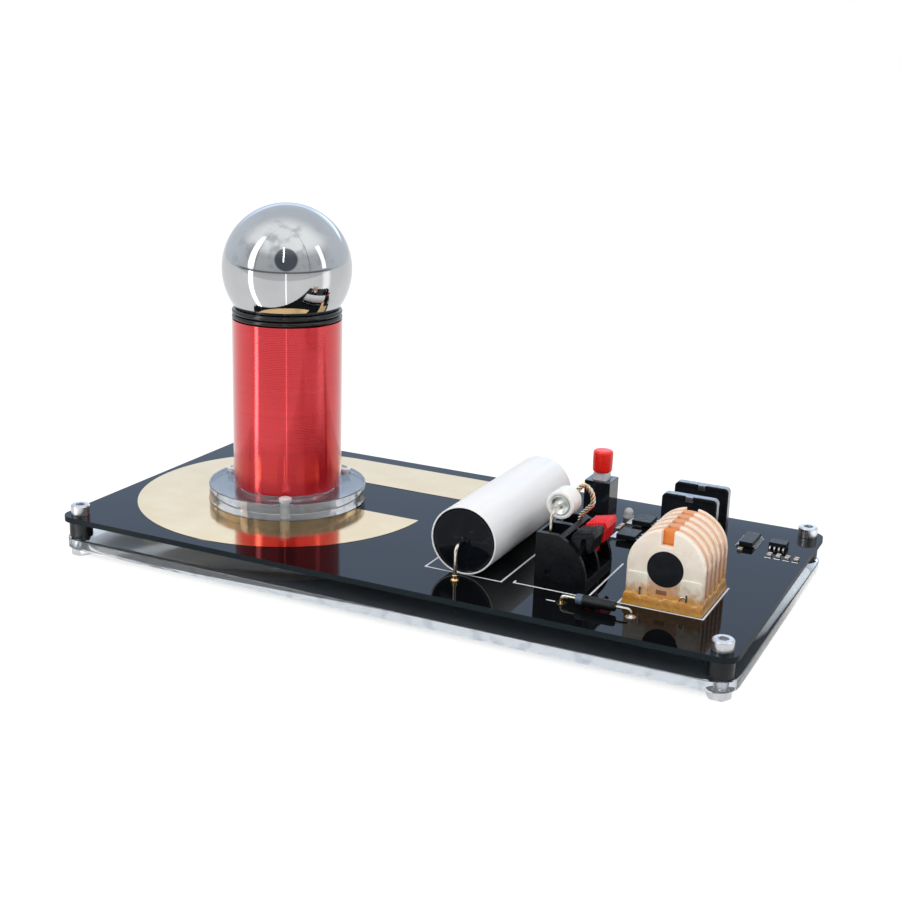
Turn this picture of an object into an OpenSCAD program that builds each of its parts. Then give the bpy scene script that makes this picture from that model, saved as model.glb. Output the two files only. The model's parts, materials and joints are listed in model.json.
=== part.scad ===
// Desktop resonant transformer: a black circuit board on a clear base plate carries a flat
// one-turn primary, an upright red secondary coil with a polished ball on top, and the
// spark-gap drive: film capacitor, gas tube in a spring terminal, step-up transformer, rectifier,
// push switch and driver parts. Millimetres, +Z up. The origin is on the surface that the four
// nuts stand on, under the middle of the board. Places on the board are measured from its left
// front corner, heights from its top face.

/* [Plates] */
// Bare board left of the flat turn
left_margin = 1.9; // [1:0.1:10]
// Bare board in front of the flat turn
front_margin = 4.4; // [3:0.1:10]
// Bare board behind the flat turn
back_margin = 5.6; // [3:0.1:10]
// Bare board right of the step-up transformer
right_margin = 14.6; // [14:0.1:20]
// Free board between the flat turn and the capacitor
turn_to_cap = 20.2; // [12:0.1:30]
// Free board between the capacitor and the spring terminal
cap_to_term = 8.1; // [6:0.1:12]
// Free board between the spring terminal and the transformer
term_to_hv = 11.6; // [8:0.1:14]
// Thickness of the circuit board
board_t = 1.6; // [1:0.1:2.4]
// Thickness of the clear base plate
base_t = 3; // [2:0.5:5]
// Gap between the base plate and the circuit board
plate_gap = 5; // [4.5:0.5:9]
// Radius of the plates' corners
plate_corner_r = 4; // [2:0.2:6]
// Distance of the corner holes from both edges
hole_inset = 4.4; // [4:0.1:6]

/* [Corner screws] */
// Diameter of the screw's shank
screw_d = 3; // [2:0.1:3.2]
// Diameter of the screw's round head
screw_head_d = 5.5; // [5:0.1:6.5]
// Height of the screw's round head
screw_head_h = 3; // [2:0.1:3.5]
// Width of the hexagon socket across its flats
screw_socket_af = 2.5; // [1.5:0.1:3]
// Outer diameter of the black spacers
spacer_d = 6.6; // [6:0.1:8]
// Width of the nuts across their flats
nut_af = 5.5; // [5:0.1:6.5]
// Height of the nuts that the object stands on
nut_h = 2.4; // [2:0.1:4]

/* [Coil] */
// Diameter of the clear foot disc
flange_d = 47.4; // [44:0.1:50]
// Thickness of the clear foot disc
flange_t = 5; // [3:0.1:8]
// Outer diameter of the clear former tube
former_d = 29.2; // [28:0.1:30]
// Wall of the clear former tube
former_wall = 1.6; // [1:0.1:2]
// Outer diameter of the wound coil
coil_d = 32.5; // [31:0.1:34]
// Height of the wound coil
coil_h = 50.3; // [40:0.1:60]
// Turns that the outer layer shows
coil_turns = 24; // [12:1:24]
// Diameter of the outer layer's wire
coil_wire_d = 1; // [0.6:0.1:1.2]

/* [Ball] */
// Diameter of the polished ball
ball_d = 38; // [36:0.5:39]
// Wall of the hollow ball
ball_wall = 0.8; // [0.5:0.1:1.5]
// Thickness of each black collar ring
ring_section_d = 1.5; // [1.2:0.1:1.8]
// Diameter of the stud that holds the ball
stud_d = 4; // [3:0.1:5]

/* [Primary turn] */
// Outer diameter of the flat turn
turn_d = 90; // [85:0.5:95]
// Thickness of the plated copper
turn_t = 0.1; // [0.05:0.01:0.3]

/* [Capacitor] */
// Outer diameter of the white capacitor
cap_d = 18.8; // [16:0.1:20]
// Length of the white capacitor
cap_l = 54; // [45:0.5:55]
// Diameter of the capacitor's leads
cap_lead_d = 1; // [0.6:0.1:1.2]

/* [Spring terminal] */
// Width of the terminal, left to right
term_w = 14.6; // [14.2:0.1:16]
// Length of the terminal, front to back
term_l = 20.5; // [19.5:0.1:22]
// Height of the terminal
term_h = 13; // [12.6:0.1:13.4]
// Wall of the terminal's housing
term_wall = 1.3; // [1:0.1:1.5]

/* [Gas tube] */
// Diameter of the ceramic gas tube
gas_d = 7.8; // [6:0.1:8.4]
// Length of the ceramic gas tube
gas_l = 6.4; // [5:0.1:7]

/* [Push switch] */
// Width of the switch housing, left to right
switch_w = 8.1; // [7.6:0.1:9]
// Depth of the switch housing, front to back
switch_depth = 7.9; // [7.6:0.1:8.4]
// Height of the switch housing
switch_h = 9.8; // [9:0.1:12]
// Diameter of the red cap
switch_cap_d = 6; // [5.6:0.1:7.5]
// Travel of the button
switch_travel = 2.2; // [1:0.1:2.4]

/* [Step-up transformer] */
// Width of the transformer, left to right
hv_w = 20.2; // [19.5:0.1:21]
// Length of the transformer, front to back
hv_l = 21.9; // [20:0.1:23]
// Height of the rod core's axis above the board
hv_axis_h = 10.5; // [10:0.1:12]
// Diameter of the black rod core
hv_core_d = 9.5; // [8:0.1:10]
// Number of winding slots
hv_slots = 5; // [4:1:7]
// Height of the amber resin foot
hv_resin_h = 3; // [2:0.1:4]

/* [Chokes and chips] */
// Width of each upright choke
choke_w = 16.2; // [14:0.1:17]
// Depth of each upright choke
choke_depth = 3.2; // [3:0.1:4]
// Height of each upright choke
choke_h = 11.4; // [10:0.1:14]
// Height of the small chips
chip_h = 1.75; // [1.2:0.05:2.2]

/* [Hidden] */
$fn = 64;

// Clearances
fit_gap = 0.1;
run_gap = 0.05;
slide_gap = 0.15;
overrun = 1;
ink_t = 0.05;
ink_w = 0.5;

// Row of large parts, left to right, and the board that they make
coil_x = left_margin + turn_d / 2;
coil_y = front_margin + turn_d / 2;
cap_x = coil_x + turn_d / 2 + turn_to_cap + cap_d / 2;
term_x = cap_x + cap_d / 2 + cap_to_term;
hv_x = term_x + term_w + term_to_hv;
board_l = hv_x + hv_w + right_margin;
board_w = coil_y + turn_d / 2 + back_margin;

// Heights of the stack
board_z = nut_h + base_t + plate_gap;
board_top = board_z + board_t;
screw_hole_d = screw_d + 2 * fit_gap;
screw_chamfer = 0.35;
socket_depth = 1.5;

// Legs that pass through the board
leg_d = 0.8;
leg_below = 1.2;
leg_solder_d = 2;
leg_solder_h = 0.8;

// Coil details
flange_chamfer = 0.3;
flange_screw_pcd = 40;
flange_screw_d = 2;
flange_head_d = 3.7;
flange_head_h = 1.4;
flange_nut_af = 4;
flange_nut_h = 1.6;
flange_screw_angles = [180, 60, -60];
coil_z = flange_t + fit_gap;
coil_top = coil_z + coil_h;
wire_r = coil_wire_d / 2;
wire_path_r = coil_d / 2 - wire_r;
rings_per_turn = 24;
wire_sides = 6;
core_r = wire_path_r * cos(180 / rings_per_turn) - wire_r - run_gap;
wire_start_angle = 150;
lead_wire_gap = 0.15;
former_top = coil_top + coil_wire_d / 2;
ring_path_r = coil_d / 2 - ring_section_d / 2;
ring_low_z = coil_top + fit_gap + ring_section_d / 2;
ring_high_z = ring_low_z + ring_section_d + run_gap;
ball_r = ball_d / 2;
ball_seat_r = ball_r + ring_section_d / 2 + run_gap;
ball_z = ring_high_z + sqrt(ball_seat_r * ball_seat_r - ring_path_r * ring_path_r);
plug_floor_t = 3.5;
plug_low_z = ball_z - ball_r - plug_floor_t;
bush_d = 8;
bush_h = 6;
stud_nut_af = 7;
stud_nut_h = 3.2;
stud_tip = 1;

// Primary turn details
turn_r = turn_d / 2;
turn_inner_r = flange_d / 2 + fit_gap;
strip_to_socket = 4.5;
tongue_w = 8;
pad_d = 2.8;

// Capacitor details
cap_y = 17;
cap_lift = 0.1;
cap_axis_h = cap_lift + cap_d / 2;
cap_sleeve_t = 0.45;
cap_seal_t = 2;
cap_seal_recess = 0.5;
cap_leg_reach = 4.4;
cap_leg_bend = 2;
cap_outline_w = 22.2;
ink_side_share = 0.4;
ink_front_share = 0.7;

// Spring terminal details
term_y = 24.5;
term_arc_r = 12.8;
term_arc_x = 1.6;
term_arc_z = 1;
way_w = (term_l - 3 * term_wall) / 2;
recess_x = 0.9;
recess_w = 5.4;
recess_floor = 4;
recess_rim = 0.3;
channel_x = recess_x + recess_w + term_wall;
channel_floor = 1.6;
pin_x = 9.7;
pin_z = 4.7;
lever_pin_d = 1.5;
lever_hub_d = 3.4;
lever_gap = 0.25;
lever_w = way_w - 2 * lever_gap;
lever_pad_left = 9;
lever_pad_reach = 6.8;
lever_pad_low = 12;
lever_pad_rise = 1.3;
lever_pad_t = 1.5;
lever_arm_w = 3;
lever_lip_x = 13.3;
lever_lip_t = 1.5;
lever_lip_drop = 4.6;
lever_rib_d = 0.7;
lever_ribs = 5;
lever_rib_rise_share = 0.3;
clip_t = 0.4;
clip_w = 5;
locating_dimple_d = 1.6;
locating_dimple_x = 3.6;
locating_dimple_z = 2.2;

// Gas tube details
gas_x = term_x + 3.3;
gas_y = term_y + 7.5;
gas_h = 18.6;
gas_wall = 1.1;
gas_lead_d = 0.9;
gas_spark_gap = 1;
gas_cup_depth = 0.9;
gas_lead_low = 6;
gas_lead_in = 0.75;
front_lead_y = term_y + term_wall + recess_rim + gas_lead_in;
rear_lead_y = term_y + term_l - term_wall - recess_rim - gas_lead_in;
// Shares of the tube's width that the rear lead stands right of, and above, the tube's axis
rear_right_share = [0, 0.1, 0.35, 0.62, 0.7, 0.5, 0.25, 0.2];
rear_up_share = [0, 0.1, 0.42, 0.2, -0.2];
rear_back_share = 0.35;
rear_short_share = 0.1;
rear_over_share = 0.25;

// Push switch details
switch_to_term = 0.5;
switch_from_back = 16.6;
switch_x = term_x - switch_to_term - switch_w;
switch_y = board_w - switch_from_back;
switch_wall = 1;
switch_roof_t = 1.2;
stem_w = 4.2;
stem_top_w = 3.4;
stem_foot_w = 5.2;
stem_foot_h = 1.2;
cap_low = switch_travel;
switch_cap_h = 6.7;
switch_cap_round = 1;
cap_socket_h = 4;
spring_wire_d = 0.4;
spring_d = 3;
spring_curls = 5;
spring_rings = 8;
switch_pin_pitch = 2.3;
switch_row_gap = 4.6;

// Step-up transformer details
hv_y = 21.5;
hv_front_t = 2.2;
hv_back_t = 1.6;
hv_rib_t = 2;
hv_slot_w = (hv_l - hv_front_t - hv_back_t - (hv_slots - 1) * hv_rib_t) / hv_slots;
hv_hub_wall = 0.9;
hv_primary_t = 0.5;
hv_winding_d = 19;
hv_notch_w = 3.2;
hv_notch_drop = 4.2;
hv_arch_r = hv_w / 2;
hv_bore_r = hv_core_d / 2 + fit_gap + hv_primary_t + fit_gap;
hv_ledge = 0.9;
hv_foot_gap = 8.8;
hv_foot_gap_h = 5.4;
hv_core_proud = 0.2;
hv_pin_in = 2.5;
hv_front_pin_h = 2;
hv_front_pin_d = 0.64;
hv_front_pin_share = 0.3;

// Rectifier details
term_to_rect = 2;
rect_x = term_x + term_w + term_to_rect;
rect_y = 12.2;
rect_l = 10.5;
rect_d = 2.8;
rect_h = 2;
rect_lead_d = 0.8;
rect_reach = 4;
rect_bend = 0.8;
minus_w = 2.4;

// Choke details
term_to_choke = 2.6;
choke_x = term_x + term_w + term_to_choke;
choke_from_back = 9;
choke_step = 12.5;
choke_rear_y = board_w - choke_from_back;
choke_front_y = choke_rear_y - choke_step;
choke_corner_r = 1.3;
choke_border_t = 0.8;
choke_border_w = 0.9;
choke_face_recess = 0.3;
choke_band_t = 0.5;
choke_tab_w = 2.2;
choke_tab_h = 1.7;
choke_tab_t = 0.3;
choke_cavity_w = 9;
choke_cavity_h = 6;
choke_cavity_depth = 1.4;
choke_leg_in = 3;

// Transistors, chips and small parts
fet_w = 5.7;
fet_l = 6.5;
fet_h = 2;
fet_to_choke = 2.5;
fet_from_back = 22.7;
fet_step = 13.8;
fet_x = choke_x - fet_to_choke - fet_w;
fet_rear_y = board_w - fet_from_back;
fet_front_y = fet_rear_y - fet_step;
fet_tab_reach = 1.9;
fet_tab_t = 0.5;
fet_tab_w = 5.2;
fet_lead_pitch = 2.29;
fet_lead_w = 0.8;
fet_lead_scale = 1.6;
lead_reach = 1.1;
lead_t = 0.2;
lead_drop = 0.7;
lead_foot_share = 0.7;
chip_pitch = 1.27;
chip_lead_w = 0.42;
chip_narrow = 3.9;
choke_to_driver = 7.9;
driver_x = choke_x + choke_w + choke_to_driver;
driver_from_back = 23.7;
driver_y = board_w - driver_from_back;
driver_l = 9.9;
driver_to_timer = 3.8;
timer_x = driver_x + chip_narrow + driver_to_timer;
timer_from_back = 20.2;
timer_y = board_w - timer_from_back;
timer_l = 4.9;
small_l = 2;
small_w = 1.25;
small_h = 0.7;
small_end = 0.4;
lamp_to_fet = 3.4;
lamp_from_back = 15.6;
lamp_x = fet_x - lamp_to_fet;
lamp_y = board_w - lamp_from_back;
lamp_d = 2.9;
lamp_rim_d = 3.3;
lamp_rim_h = 0.6;
lamp_h = 3;
small_row_count = 4;
small_row_pitch = 2.53;
small_row_in = 1.8;
small_row_from_back = 26.4;
small_row_x = timer_x + small_row_in;
small_row_y = board_w - small_row_from_back;
small_column_count = 2;
small_column_pitch = 2.8;
small_column_to_fet = 2.4;
small_column_in = 1.7;
small_single_in = 1.1;

// Power socket details
socket_under_cap = 5.4;
socket_w = 9;
socket_l = 7.4;
socket_h = 3.2;
socket_x = cap_x - cap_d / 2 + socket_under_cap - socket_w;
strip_end_x = socket_x - strip_to_socket;
socket_wall = 0.3;
socket_tongue_w = 6.6;
socket_tongue_t = 0.7;
socket_tongue_l = 5;
socket_peg_in = 0.5;
socket_peg_share = 0.2;
socket_peg_h = 0.45;

// Places on the board: a point measured from its left front corner and its top face
module on_board(x, y, z = 0) translate([x - board_l / 2, y - board_w / 2, board_top + z]) children();

// The four corner holes
module at_corners() {
  for (sx = [-1, 1], sy = [-1, 1])
    translate([sx * (board_l / 2 - hole_inset), sy * (board_w / 2 - hole_inset), 0]) children();
}

// Plan of both plates
module plate_outline() {
  square([board_l - 2 * plate_corner_r, board_w], center = true);
  square([board_l, board_w - 2 * plate_corner_r], center = true);
  for (sx = [-1, 1], sy = [-1, 1])
    translate([sx * (board_l / 2 - plate_corner_r), sy * (board_w / 2 - plate_corner_r)])
      circle(plate_corner_r);
}

// An outline drawn in X and Z, carried back along Y for a length
module carried_back(length) translate([0, length, 0]) rotate([90, 0, 0]) linear_extrude(length) children();

// Hexagon by its width across the flats
module hexagon(af, h) cylinder(h = h, r = af / sqrt(3), $fn = 6);

// Hexagon nut with both faces chamfered, and its hole
module nut(af, h, hole_d) {
  corner_r = af / sqrt(3);
  slope = (corner_r - af / 2) / 2;
  difference() {
    intersection() {
      hexagon(af, h);
      rotate_extrude()
        polygon([[0, 0], [corner_r - slope, 0], [corner_r, slope], [corner_r, h - slope],
                 [corner_r - slope, h], [0, h]]);
    }
    translate([0, 0, -overrun]) cylinder(h = h + 2 * overrun, d = hole_d);
  }
}

// A leg through the board with its solder cone on the underside, from a height above the board
module leg(top, d = leg_d) {
  translate([0, 0, -board_t - leg_below]) cylinder(h = board_t + leg_below + top, d = d, $fn = 24);
  translate([0, 0, -board_t - leg_solder_h])
    cylinder(h = leg_solder_h, d1 = d, d2 = leg_solder_d, $fn = 24);
}

// Vector helpers for swept wires
function unit(v) = v / norm(v);
function across(v, t) = v - (v * t) * t;
function tangent(p, i) = unit(p[min(i + 1, len(p) - 1)] - p[max(i - 1, 0)]);
function frames(p, start) =
  [for (i = 0, n = unit(across(start, tangent(p, 0))); i < len(p);
        i = i + 1, n = i < len(p) ? unit(across(n, tangent(p, i))) : n) n];
function ring_points(c, n, b, r, sides) =
  [for (k = [0 : sides - 1]) c + r * (cos(360 * k / sides) * n + sin(360 * k / sides) * b)];

// A round wire of radius r swept along points p, with the given number of sides
module swept_wire(p, r, sides = 8, start = [0, 0, 1]) {
  ns = frames(p, start);
  points = [for (i = [0 : len(p) - 1])
    each ring_points(p[i], ns[i], cross(tangent(p, i), ns[i]), r, sides)];
  last = (len(p) - 1) * sides;
  walls = [for (i = [0 : len(p) - 2], k = [0 : sides - 1])
    let (a = i * sides + k, b = i * sides + (k + 1) % sides)
    each [[a, a + sides, b], [b, a + sides, b + sides]]];
  caps = [for (k = [1 : sides - 2]) each [[0, k, k + 1], [last, last + k + 1, last + k]]];
  polyhedron(points = points, faces = concat(walls, caps));
}

// Points of a wire that runs from a, turns at corner c with radius r, and goes on to b
function bend_points(a, c, b, r, steps = 6) =
  let (u = unit(a - c), v = unit(b - c), centre = c + r * (u + v))
  concat([a],
    [for (k = [0 : steps]) centre - r * (cos(90 * k / steps) * v + sin(90 * k / steps) * u)], [b]);

// A smooth curve through hand-chosen points, with steps between each pair
function through(p, i) = p[max(0, min(len(p) - 1, i))];
function curve(p, steps = 4) = concat(
  [for (i = [0 : len(p) - 2], s = [0 : steps - 1])
    let (t = s / steps, a = through(p, i - 1), b = p[i], c = p[i + 1], d = through(p, i + 2))
    0.5 * ((2 * b) + (c - a) * t + (2 * a - 5 * b + 4 * c - d) * t * t
           + (3 * b - a - 3 * c + d) * t * t * t)],
  [p[len(p) - 1]]);

// Plates and their fasteners
module base_plate() color([0.86, 0.91, 0.96, 0.5]) translate([0, 0, nut_h]) difference() {
  linear_extrude(base_t) plate_outline();
  translate([0, 0, -overrun]) at_corners() cylinder(h = base_t + 2 * overrun, d = screw_hole_d);
}

// Every leg that passes through the board: its place and its diameter
clip_leg_x = recess_x + recess_w / 2;
function way_low(i) = term_wall + i * (way_w + term_wall);
function way_mid(i) = way_low(i) + way_w / 2;
switch_mid = [switch_x + switch_w / 2, switch_y + switch_depth / 2];
switch_pin_spots = [for (i = [-1, 0, 1], s = [-1, 1])
  switch_mid + [i * switch_pin_pitch, s * switch_row_gap / 2]];
hv_mid_x = hv_x + hv_w / 2;
hv_pin_spots = [for (sx = [-1, 1], y = [hv_pin_in, hv_l - hv_pin_in])
  [hv_mid_x + sx * (hv_w / 2 - hv_pin_in), hv_y + y]];
choke_rows = [choke_front_y, choke_rear_y];
choke_pin_spots = [for (y = choke_rows, x = [choke_leg_in, choke_w - choke_leg_in])
  [choke_x + x, y + choke_border_t + (choke_depth - choke_border_t) / 2]];
socket_mid_x = socket_x + socket_w / 2;
socket_peg_spots = [for (s = [-1, 1], y = [socket_peg_share, 1 - socket_peg_share])
  [socket_mid_x + s * (socket_w / 2 - socket_peg_in), board_w - socket_l + y * socket_l]];
leg_spots = concat(
  [[cap_x, cap_y - cap_leg_reach, cap_lead_d], [cap_x, cap_y + cap_l + cap_leg_reach, cap_lead_d],
   [rect_x - rect_reach, rect_y, rect_lead_d], [rect_x + rect_l + rect_reach, rect_y, rect_lead_d]],
  [for (i = [0, 1]) [term_x + clip_leg_x, term_y + way_mid(i), leg_d]],
  [for (p = switch_pin_spots) [p[0], p[1], leg_d]],
  [for (p = hv_pin_spots) [p[0], p[1], leg_d]],
  [for (p = choke_pin_spots) [p[0], p[1], leg_d]],
  [for (p = socket_peg_spots) [p[0], p[1], leg_d]]);

// Place and direction of both ends of the outer layer's wire
wire_low_z = coil_z + wire_r;
wire_pitch = (coil_h - coil_wire_d) / coil_turns;
function wire_angle(i) = wire_start_angle + 360 * i / rings_per_turn;
function wire_point(i) = [wire_path_r * cos(wire_angle(i)), wire_path_r * sin(wire_angle(i)),
                          wire_low_z + wire_pitch * i / rings_per_turn];
wire_steps = coil_turns * rings_per_turn;
wire_helix = [for (i = [0 : wire_steps]) wire_point(i)];
wire_in = [sin(wire_angle(0)), -cos(wire_angle(0)), 0];
wire_out = [-sin(wire_angle(wire_steps)), cos(wire_angle(wire_steps)), 0];
wire_first = wire_point(0) + coil_wire_d * wire_in;
wire_last = wire_point(wire_steps) + coil_wire_d * wire_out;
wire_path = concat([wire_first], wire_helix, [wire_last]);
lead_bend_share = 0.8;
lead_bend_r = lead_bend_share * coil_wire_d;
low_lead_corner = wire_first + coil_wire_d * wire_in;
lead_hole_d = coil_wire_d + 2 * lead_wire_gap;
top_lead_corner = wire_last + coil_wire_d * wire_out;
top_lead_z = wire_last[2];
top_lead_angle = atan2(top_lead_corner[1], top_lead_corner[0]);
top_lead_below_ball = ball_z - top_lead_z - wire_r;
top_lead_end_r = sqrt(ball_r * ball_r - top_lead_below_ball * top_lead_below_ball) + run_gap;

// Least gap between one loop of the outer layer and the next, measured on its points
wire_gap = min([for (i = [0 : wire_steps - rings_per_turn], k = [-4 : 4])
  let (j = i + rings_per_turn + k)
  if (j <= wire_steps) norm(wire_helix[i] - wire_helix[j]) - coil_wire_d]);
echo(secondary_winding_least_gap = wire_gap);

module circuit_board() color([0.1, 0.11, 0.13]) difference() {
  translate([0, 0, board_z]) linear_extrude(board_t) plate_outline();
  translate([0, 0, board_z - overrun]) at_corners()
    cylinder(h = board_t + 2 * overrun, d = screw_hole_d);
  for (a = flange_screw_angles)
    on_board(coil_x, coil_y, -board_t - overrun) rotate(a) translate([flange_screw_pcd / 2, 0, 0])
      cylinder(h = board_t + 2 * overrun, d = flange_screw_d + 2 * fit_gap);
  on_board(coil_x + low_lead_corner[0], coil_y + low_lead_corner[1], -board_t - overrun)
    cylinder(h = board_t + 2 * overrun, d = lead_hole_d);
  for (s = leg_spots)
    on_board(s[0], s[1], -board_t - overrun)
      cylinder(h = board_t + 2 * overrun, d = s[2] + 2 * fit_gap);
}

// The flat turn: a broad ring, open at the right, whose back end runs on as a strip
module turn_outline() {
  band_w = turn_r - turn_inner_r;
  difference() {
    circle(turn_r);
    circle(turn_inner_r);
    square([turn_r + overrun, turn_r + overrun]);
  }
  translate([0, turn_inner_r]) square([strip_end_x - coil_x, band_w]);
  translate([0, turn_inner_r]) square([cap_x + cap_leg_reach - coil_x, tongue_w]);
}

// The turn is on both faces of the board; the two lead pads are on its top alone
module primary_turn() color([0.87, 0.81, 0.7]) difference() {
  union() {
    for (z = [0, -board_t - turn_t]) on_board(coil_x, coil_y, z) linear_extrude(turn_t) turn_outline();
    on_board(cap_x, cap_y - cap_leg_reach) cylinder(h = turn_t, d = pad_d);
    for (x = [rect_x - rect_reach, rect_x + rect_l + rect_reach])
      on_board(x, rect_y) cylinder(h = turn_t, d = pad_d);
  }
  for (s = leg_spots)
    on_board(s[0], s[1], -board_t - overrun)
      cylinder(h = board_t + 2 * overrun, d = s[2] + 2 * fit_gap);
  for (s = leg_spots)
    on_board(s[0], s[1], -board_t - turn_t - overrun)
      cylinder(h = turn_t + overrun, d = leg_solder_d + 2 * fit_gap);
}

// White ink: part outlines, as plain lines
module ink_line(x1, y1, x2, y2) {
  length = norm([x2 - x1, y2 - y1]);
  on_board(x1, y1) rotate(atan2(y2 - y1, x2 - x1))
    translate([-ink_w / 2, -ink_w / 2, 0]) cube([length + ink_w, ink_w, ink_t]);
}

module board_markings() color("white") {
  cap_left = cap_x - cap_outline_w / 2;
  cap_right = cap_x + cap_outline_w / 2;
  cap_front = cap_y + ink_w;
  cap_back = coil_y + turn_inner_r - tongue_w / 4;
  union() {
    ink_line(cap_left, cap_front, cap_right, cap_front);
    ink_line(cap_left, cap_front, cap_left, cap_back);
    ink_line(cap_right, cap_front, cap_right, cap_back);
  }
  term_left = term_x - ink_side_share * way_w;
  term_right = term_x + term_w + 2 * term_wall;
  term_front = term_y - ink_front_share * way_w;
  union() {
    ink_line(term_left, term_front, term_right, term_front);
    ink_line(term_right, term_front, term_right, term_y + term_l + term_wall);
    ink_line(term_left, term_front, term_left, term_front + term_wall);
  }
  hv_out = 2 * ink_w;
  union() {
    ink_line(hv_x - hv_out, hv_y - hv_ledge - hv_out, hv_x + hv_w + hv_out, hv_y - hv_ledge - hv_out);
    ink_line(hv_x + hv_w + hv_out, hv_y - hv_ledge - hv_out, hv_x + hv_w + hv_out, hv_y + hv_l);
    ink_line(hv_x - hv_out, hv_y - hv_ledge - hv_out, hv_x - hv_out, hv_y + hv_l);
  }
  minus_right = rect_x - rect_reach - pad_d / 2;
  ink_line(minus_right - minus_w, rect_y, minus_right - ink_w, rect_y);
  for (p = small_row)
    ink_line(p[0] - small_w / 2, p[1] - small_l / 2 - 2 * ink_w,
             p[0] + small_w / 2, p[1] - small_l / 2 - 2 * ink_w);
}

module socket_screw(length) {
  difference() {
    rotate_extrude()
      polygon([[0, 0], [screw_head_d / 2, 0], [screw_head_d / 2, screw_head_h - screw_chamfer],
               [screw_head_d / 2 - screw_chamfer, screw_head_h], [0, screw_head_h]]);
    translate([0, 0, screw_head_h - socket_depth]) hexagon(screw_socket_af, socket_depth + overrun);
  }
  translate([0, 0, -length]) cylinder(h = length, d = screw_d);
}

module corner_screws() color("silver") at_corners() translate([0, 0, board_top])
  socket_screw(board_top - fit_gap);

module corner_spacers() color([0.08, 0.09, 0.1]) at_corners() translate([0, 0, nut_h + base_t])
  difference() {
    cylinder(h = plate_gap, d = spacer_d);
    translate([0, 0, -overrun]) cylinder(h = plate_gap + 2 * overrun, d = screw_hole_d);
  }

module corner_nuts() color("silver") at_corners() nut(nut_af, nut_h, screw_d + 2 * run_gap);

// Coil foot, former and windings
module coil_flange() color([0.86, 0.9, 0.95, 0.6]) on_board(coil_x, coil_y) difference() {
  rotate_extrude()
    polygon([[former_d / 2 + fit_gap, 0], [flange_d / 2, 0], [flange_d / 2, flange_t - flange_chamfer],
             [flange_d / 2 - flange_chamfer, flange_t], [former_d / 2 + fit_gap, flange_t]]);
  for (a = flange_screw_angles)
    rotate(a) translate([flange_screw_pcd / 2, 0, -overrun])
      cylinder(h = flange_t + 2 * overrun, d = flange_screw_d + 2 * fit_gap);
  translate([low_lead_corner[0], low_lead_corner[1], -overrun])
    cylinder(h = flange_t + 2 * overrun, d = lead_hole_d);
}

module flange_screws() color([0.85, 0.87, 0.9]) on_board(coil_x, coil_y)
  for (a = flange_screw_angles) rotate(a) translate([flange_screw_pcd / 2, 0, 0]) {
    translate([0, 0, flange_t]) difference() {
      intersection() {
        cylinder(h = flange_head_h, d = flange_head_d);
        translate([0, 0, flange_head_h - flange_head_d]) sphere(flange_head_d);
      }
      for (t = [0, 90])
        rotate(t) translate([-flange_head_d / 4, -flange_head_d / 12, flange_head_h / 2])
          cube([flange_head_d / 2, flange_head_d / 6, flange_head_h]);
    }
    translate([0, 0, -board_t - flange_nut_h - fit_gap])
      cylinder(h = flange_t + board_t + flange_nut_h + fit_gap, d = flange_screw_d);
  }

module flange_nuts() color("silver") on_board(coil_x, coil_y)
  for (a = flange_screw_angles) rotate(a)
    translate([flange_screw_pcd / 2, 0, -board_t - flange_nut_h])
      nut(flange_nut_af, flange_nut_h, flange_screw_d + 2 * run_gap);

// Round hole through the coil's wall where the upper lead turns inwards
module top_lead_hole() translate([0, 0, top_lead_z]) rotate(top_lead_angle) rotate([0, 90, 0])
  cylinder(h = coil_d, d = lead_hole_d);

module coil_former() color([0.9, 0.93, 0.97, 0.5]) on_board(coil_x, coil_y) difference() {
  cylinder(h = former_top, d = former_d);
  translate([0, 0, -overrun]) cylinder(h = former_top + 2 * overrun, d = former_d - 2 * former_wall);
  top_lead_hole();
}

module winding_core() color([0.7, 0.1, 0.12]) on_board(coil_x, coil_y) difference() {
  translate([0, 0, coil_z]) cylinder(h = coil_h, r = core_r);
  cylinder(h = coil_top + overrun, d = former_d + 2 * run_gap);
  top_lead_hole();
}

module secondary_winding() color([0.82, 0.15, 0.18]) on_board(coil_x, coil_y)
  swept_wire(wire_path, wire_r, wire_sides);

module winding_leads() color([0.82, 0.15, 0.18]) on_board(coil_x, coil_y) {
  low_end = [low_lead_corner[0], low_lead_corner[1], -board_t - leg_below];
  swept_wire(bend_points(wire_first, low_lead_corner, low_end, lead_bend_r), wire_r, wire_sides);
  top_end = [top_lead_end_r * cos(top_lead_angle), top_lead_end_r * sin(top_lead_angle), top_lead_z];
  swept_wire(bend_points(wire_last, top_lead_corner, top_end, lead_bend_r), wire_r, wire_sides);
}

module top_plug() color([0.07, 0.07, 0.08]) on_board(coil_x, coil_y) difference() {
  union() {
    translate([0, 0, plug_low_z])
      cylinder(h = former_top - plug_low_z, d = former_d - 2 * former_wall - 2 * fit_gap);
    translate([0, 0, former_top])
      cylinder(h = 2 * ring_section_d, r = ring_path_r - ring_section_d / 2 - run_gap);
  }
  translate([0, 0, ball_z]) sphere(ball_r + fit_gap);
  cylinder(h = ball_z, d = stud_d + 2 * run_gap);
  top_lead_hole();
}

module collar_rings() color([0.05, 0.05, 0.06]) on_board(coil_x, coil_y)
  for (z = [ring_low_z, ring_high_z])
    translate([0, 0, z]) rotate_extrude() translate([ring_path_r, 0]) circle(ring_section_d / 2);

module ball_shell() color([0.8, 0.8, 0.8]) on_board(coil_x, coil_y, ball_z) difference() {
  sphere(ball_r);
  sphere(ball_r - ball_wall);
  translate([0, 0, -ball_d]) cylinder(h = ball_d, d = bush_d + 2 * run_gap);
}

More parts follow.
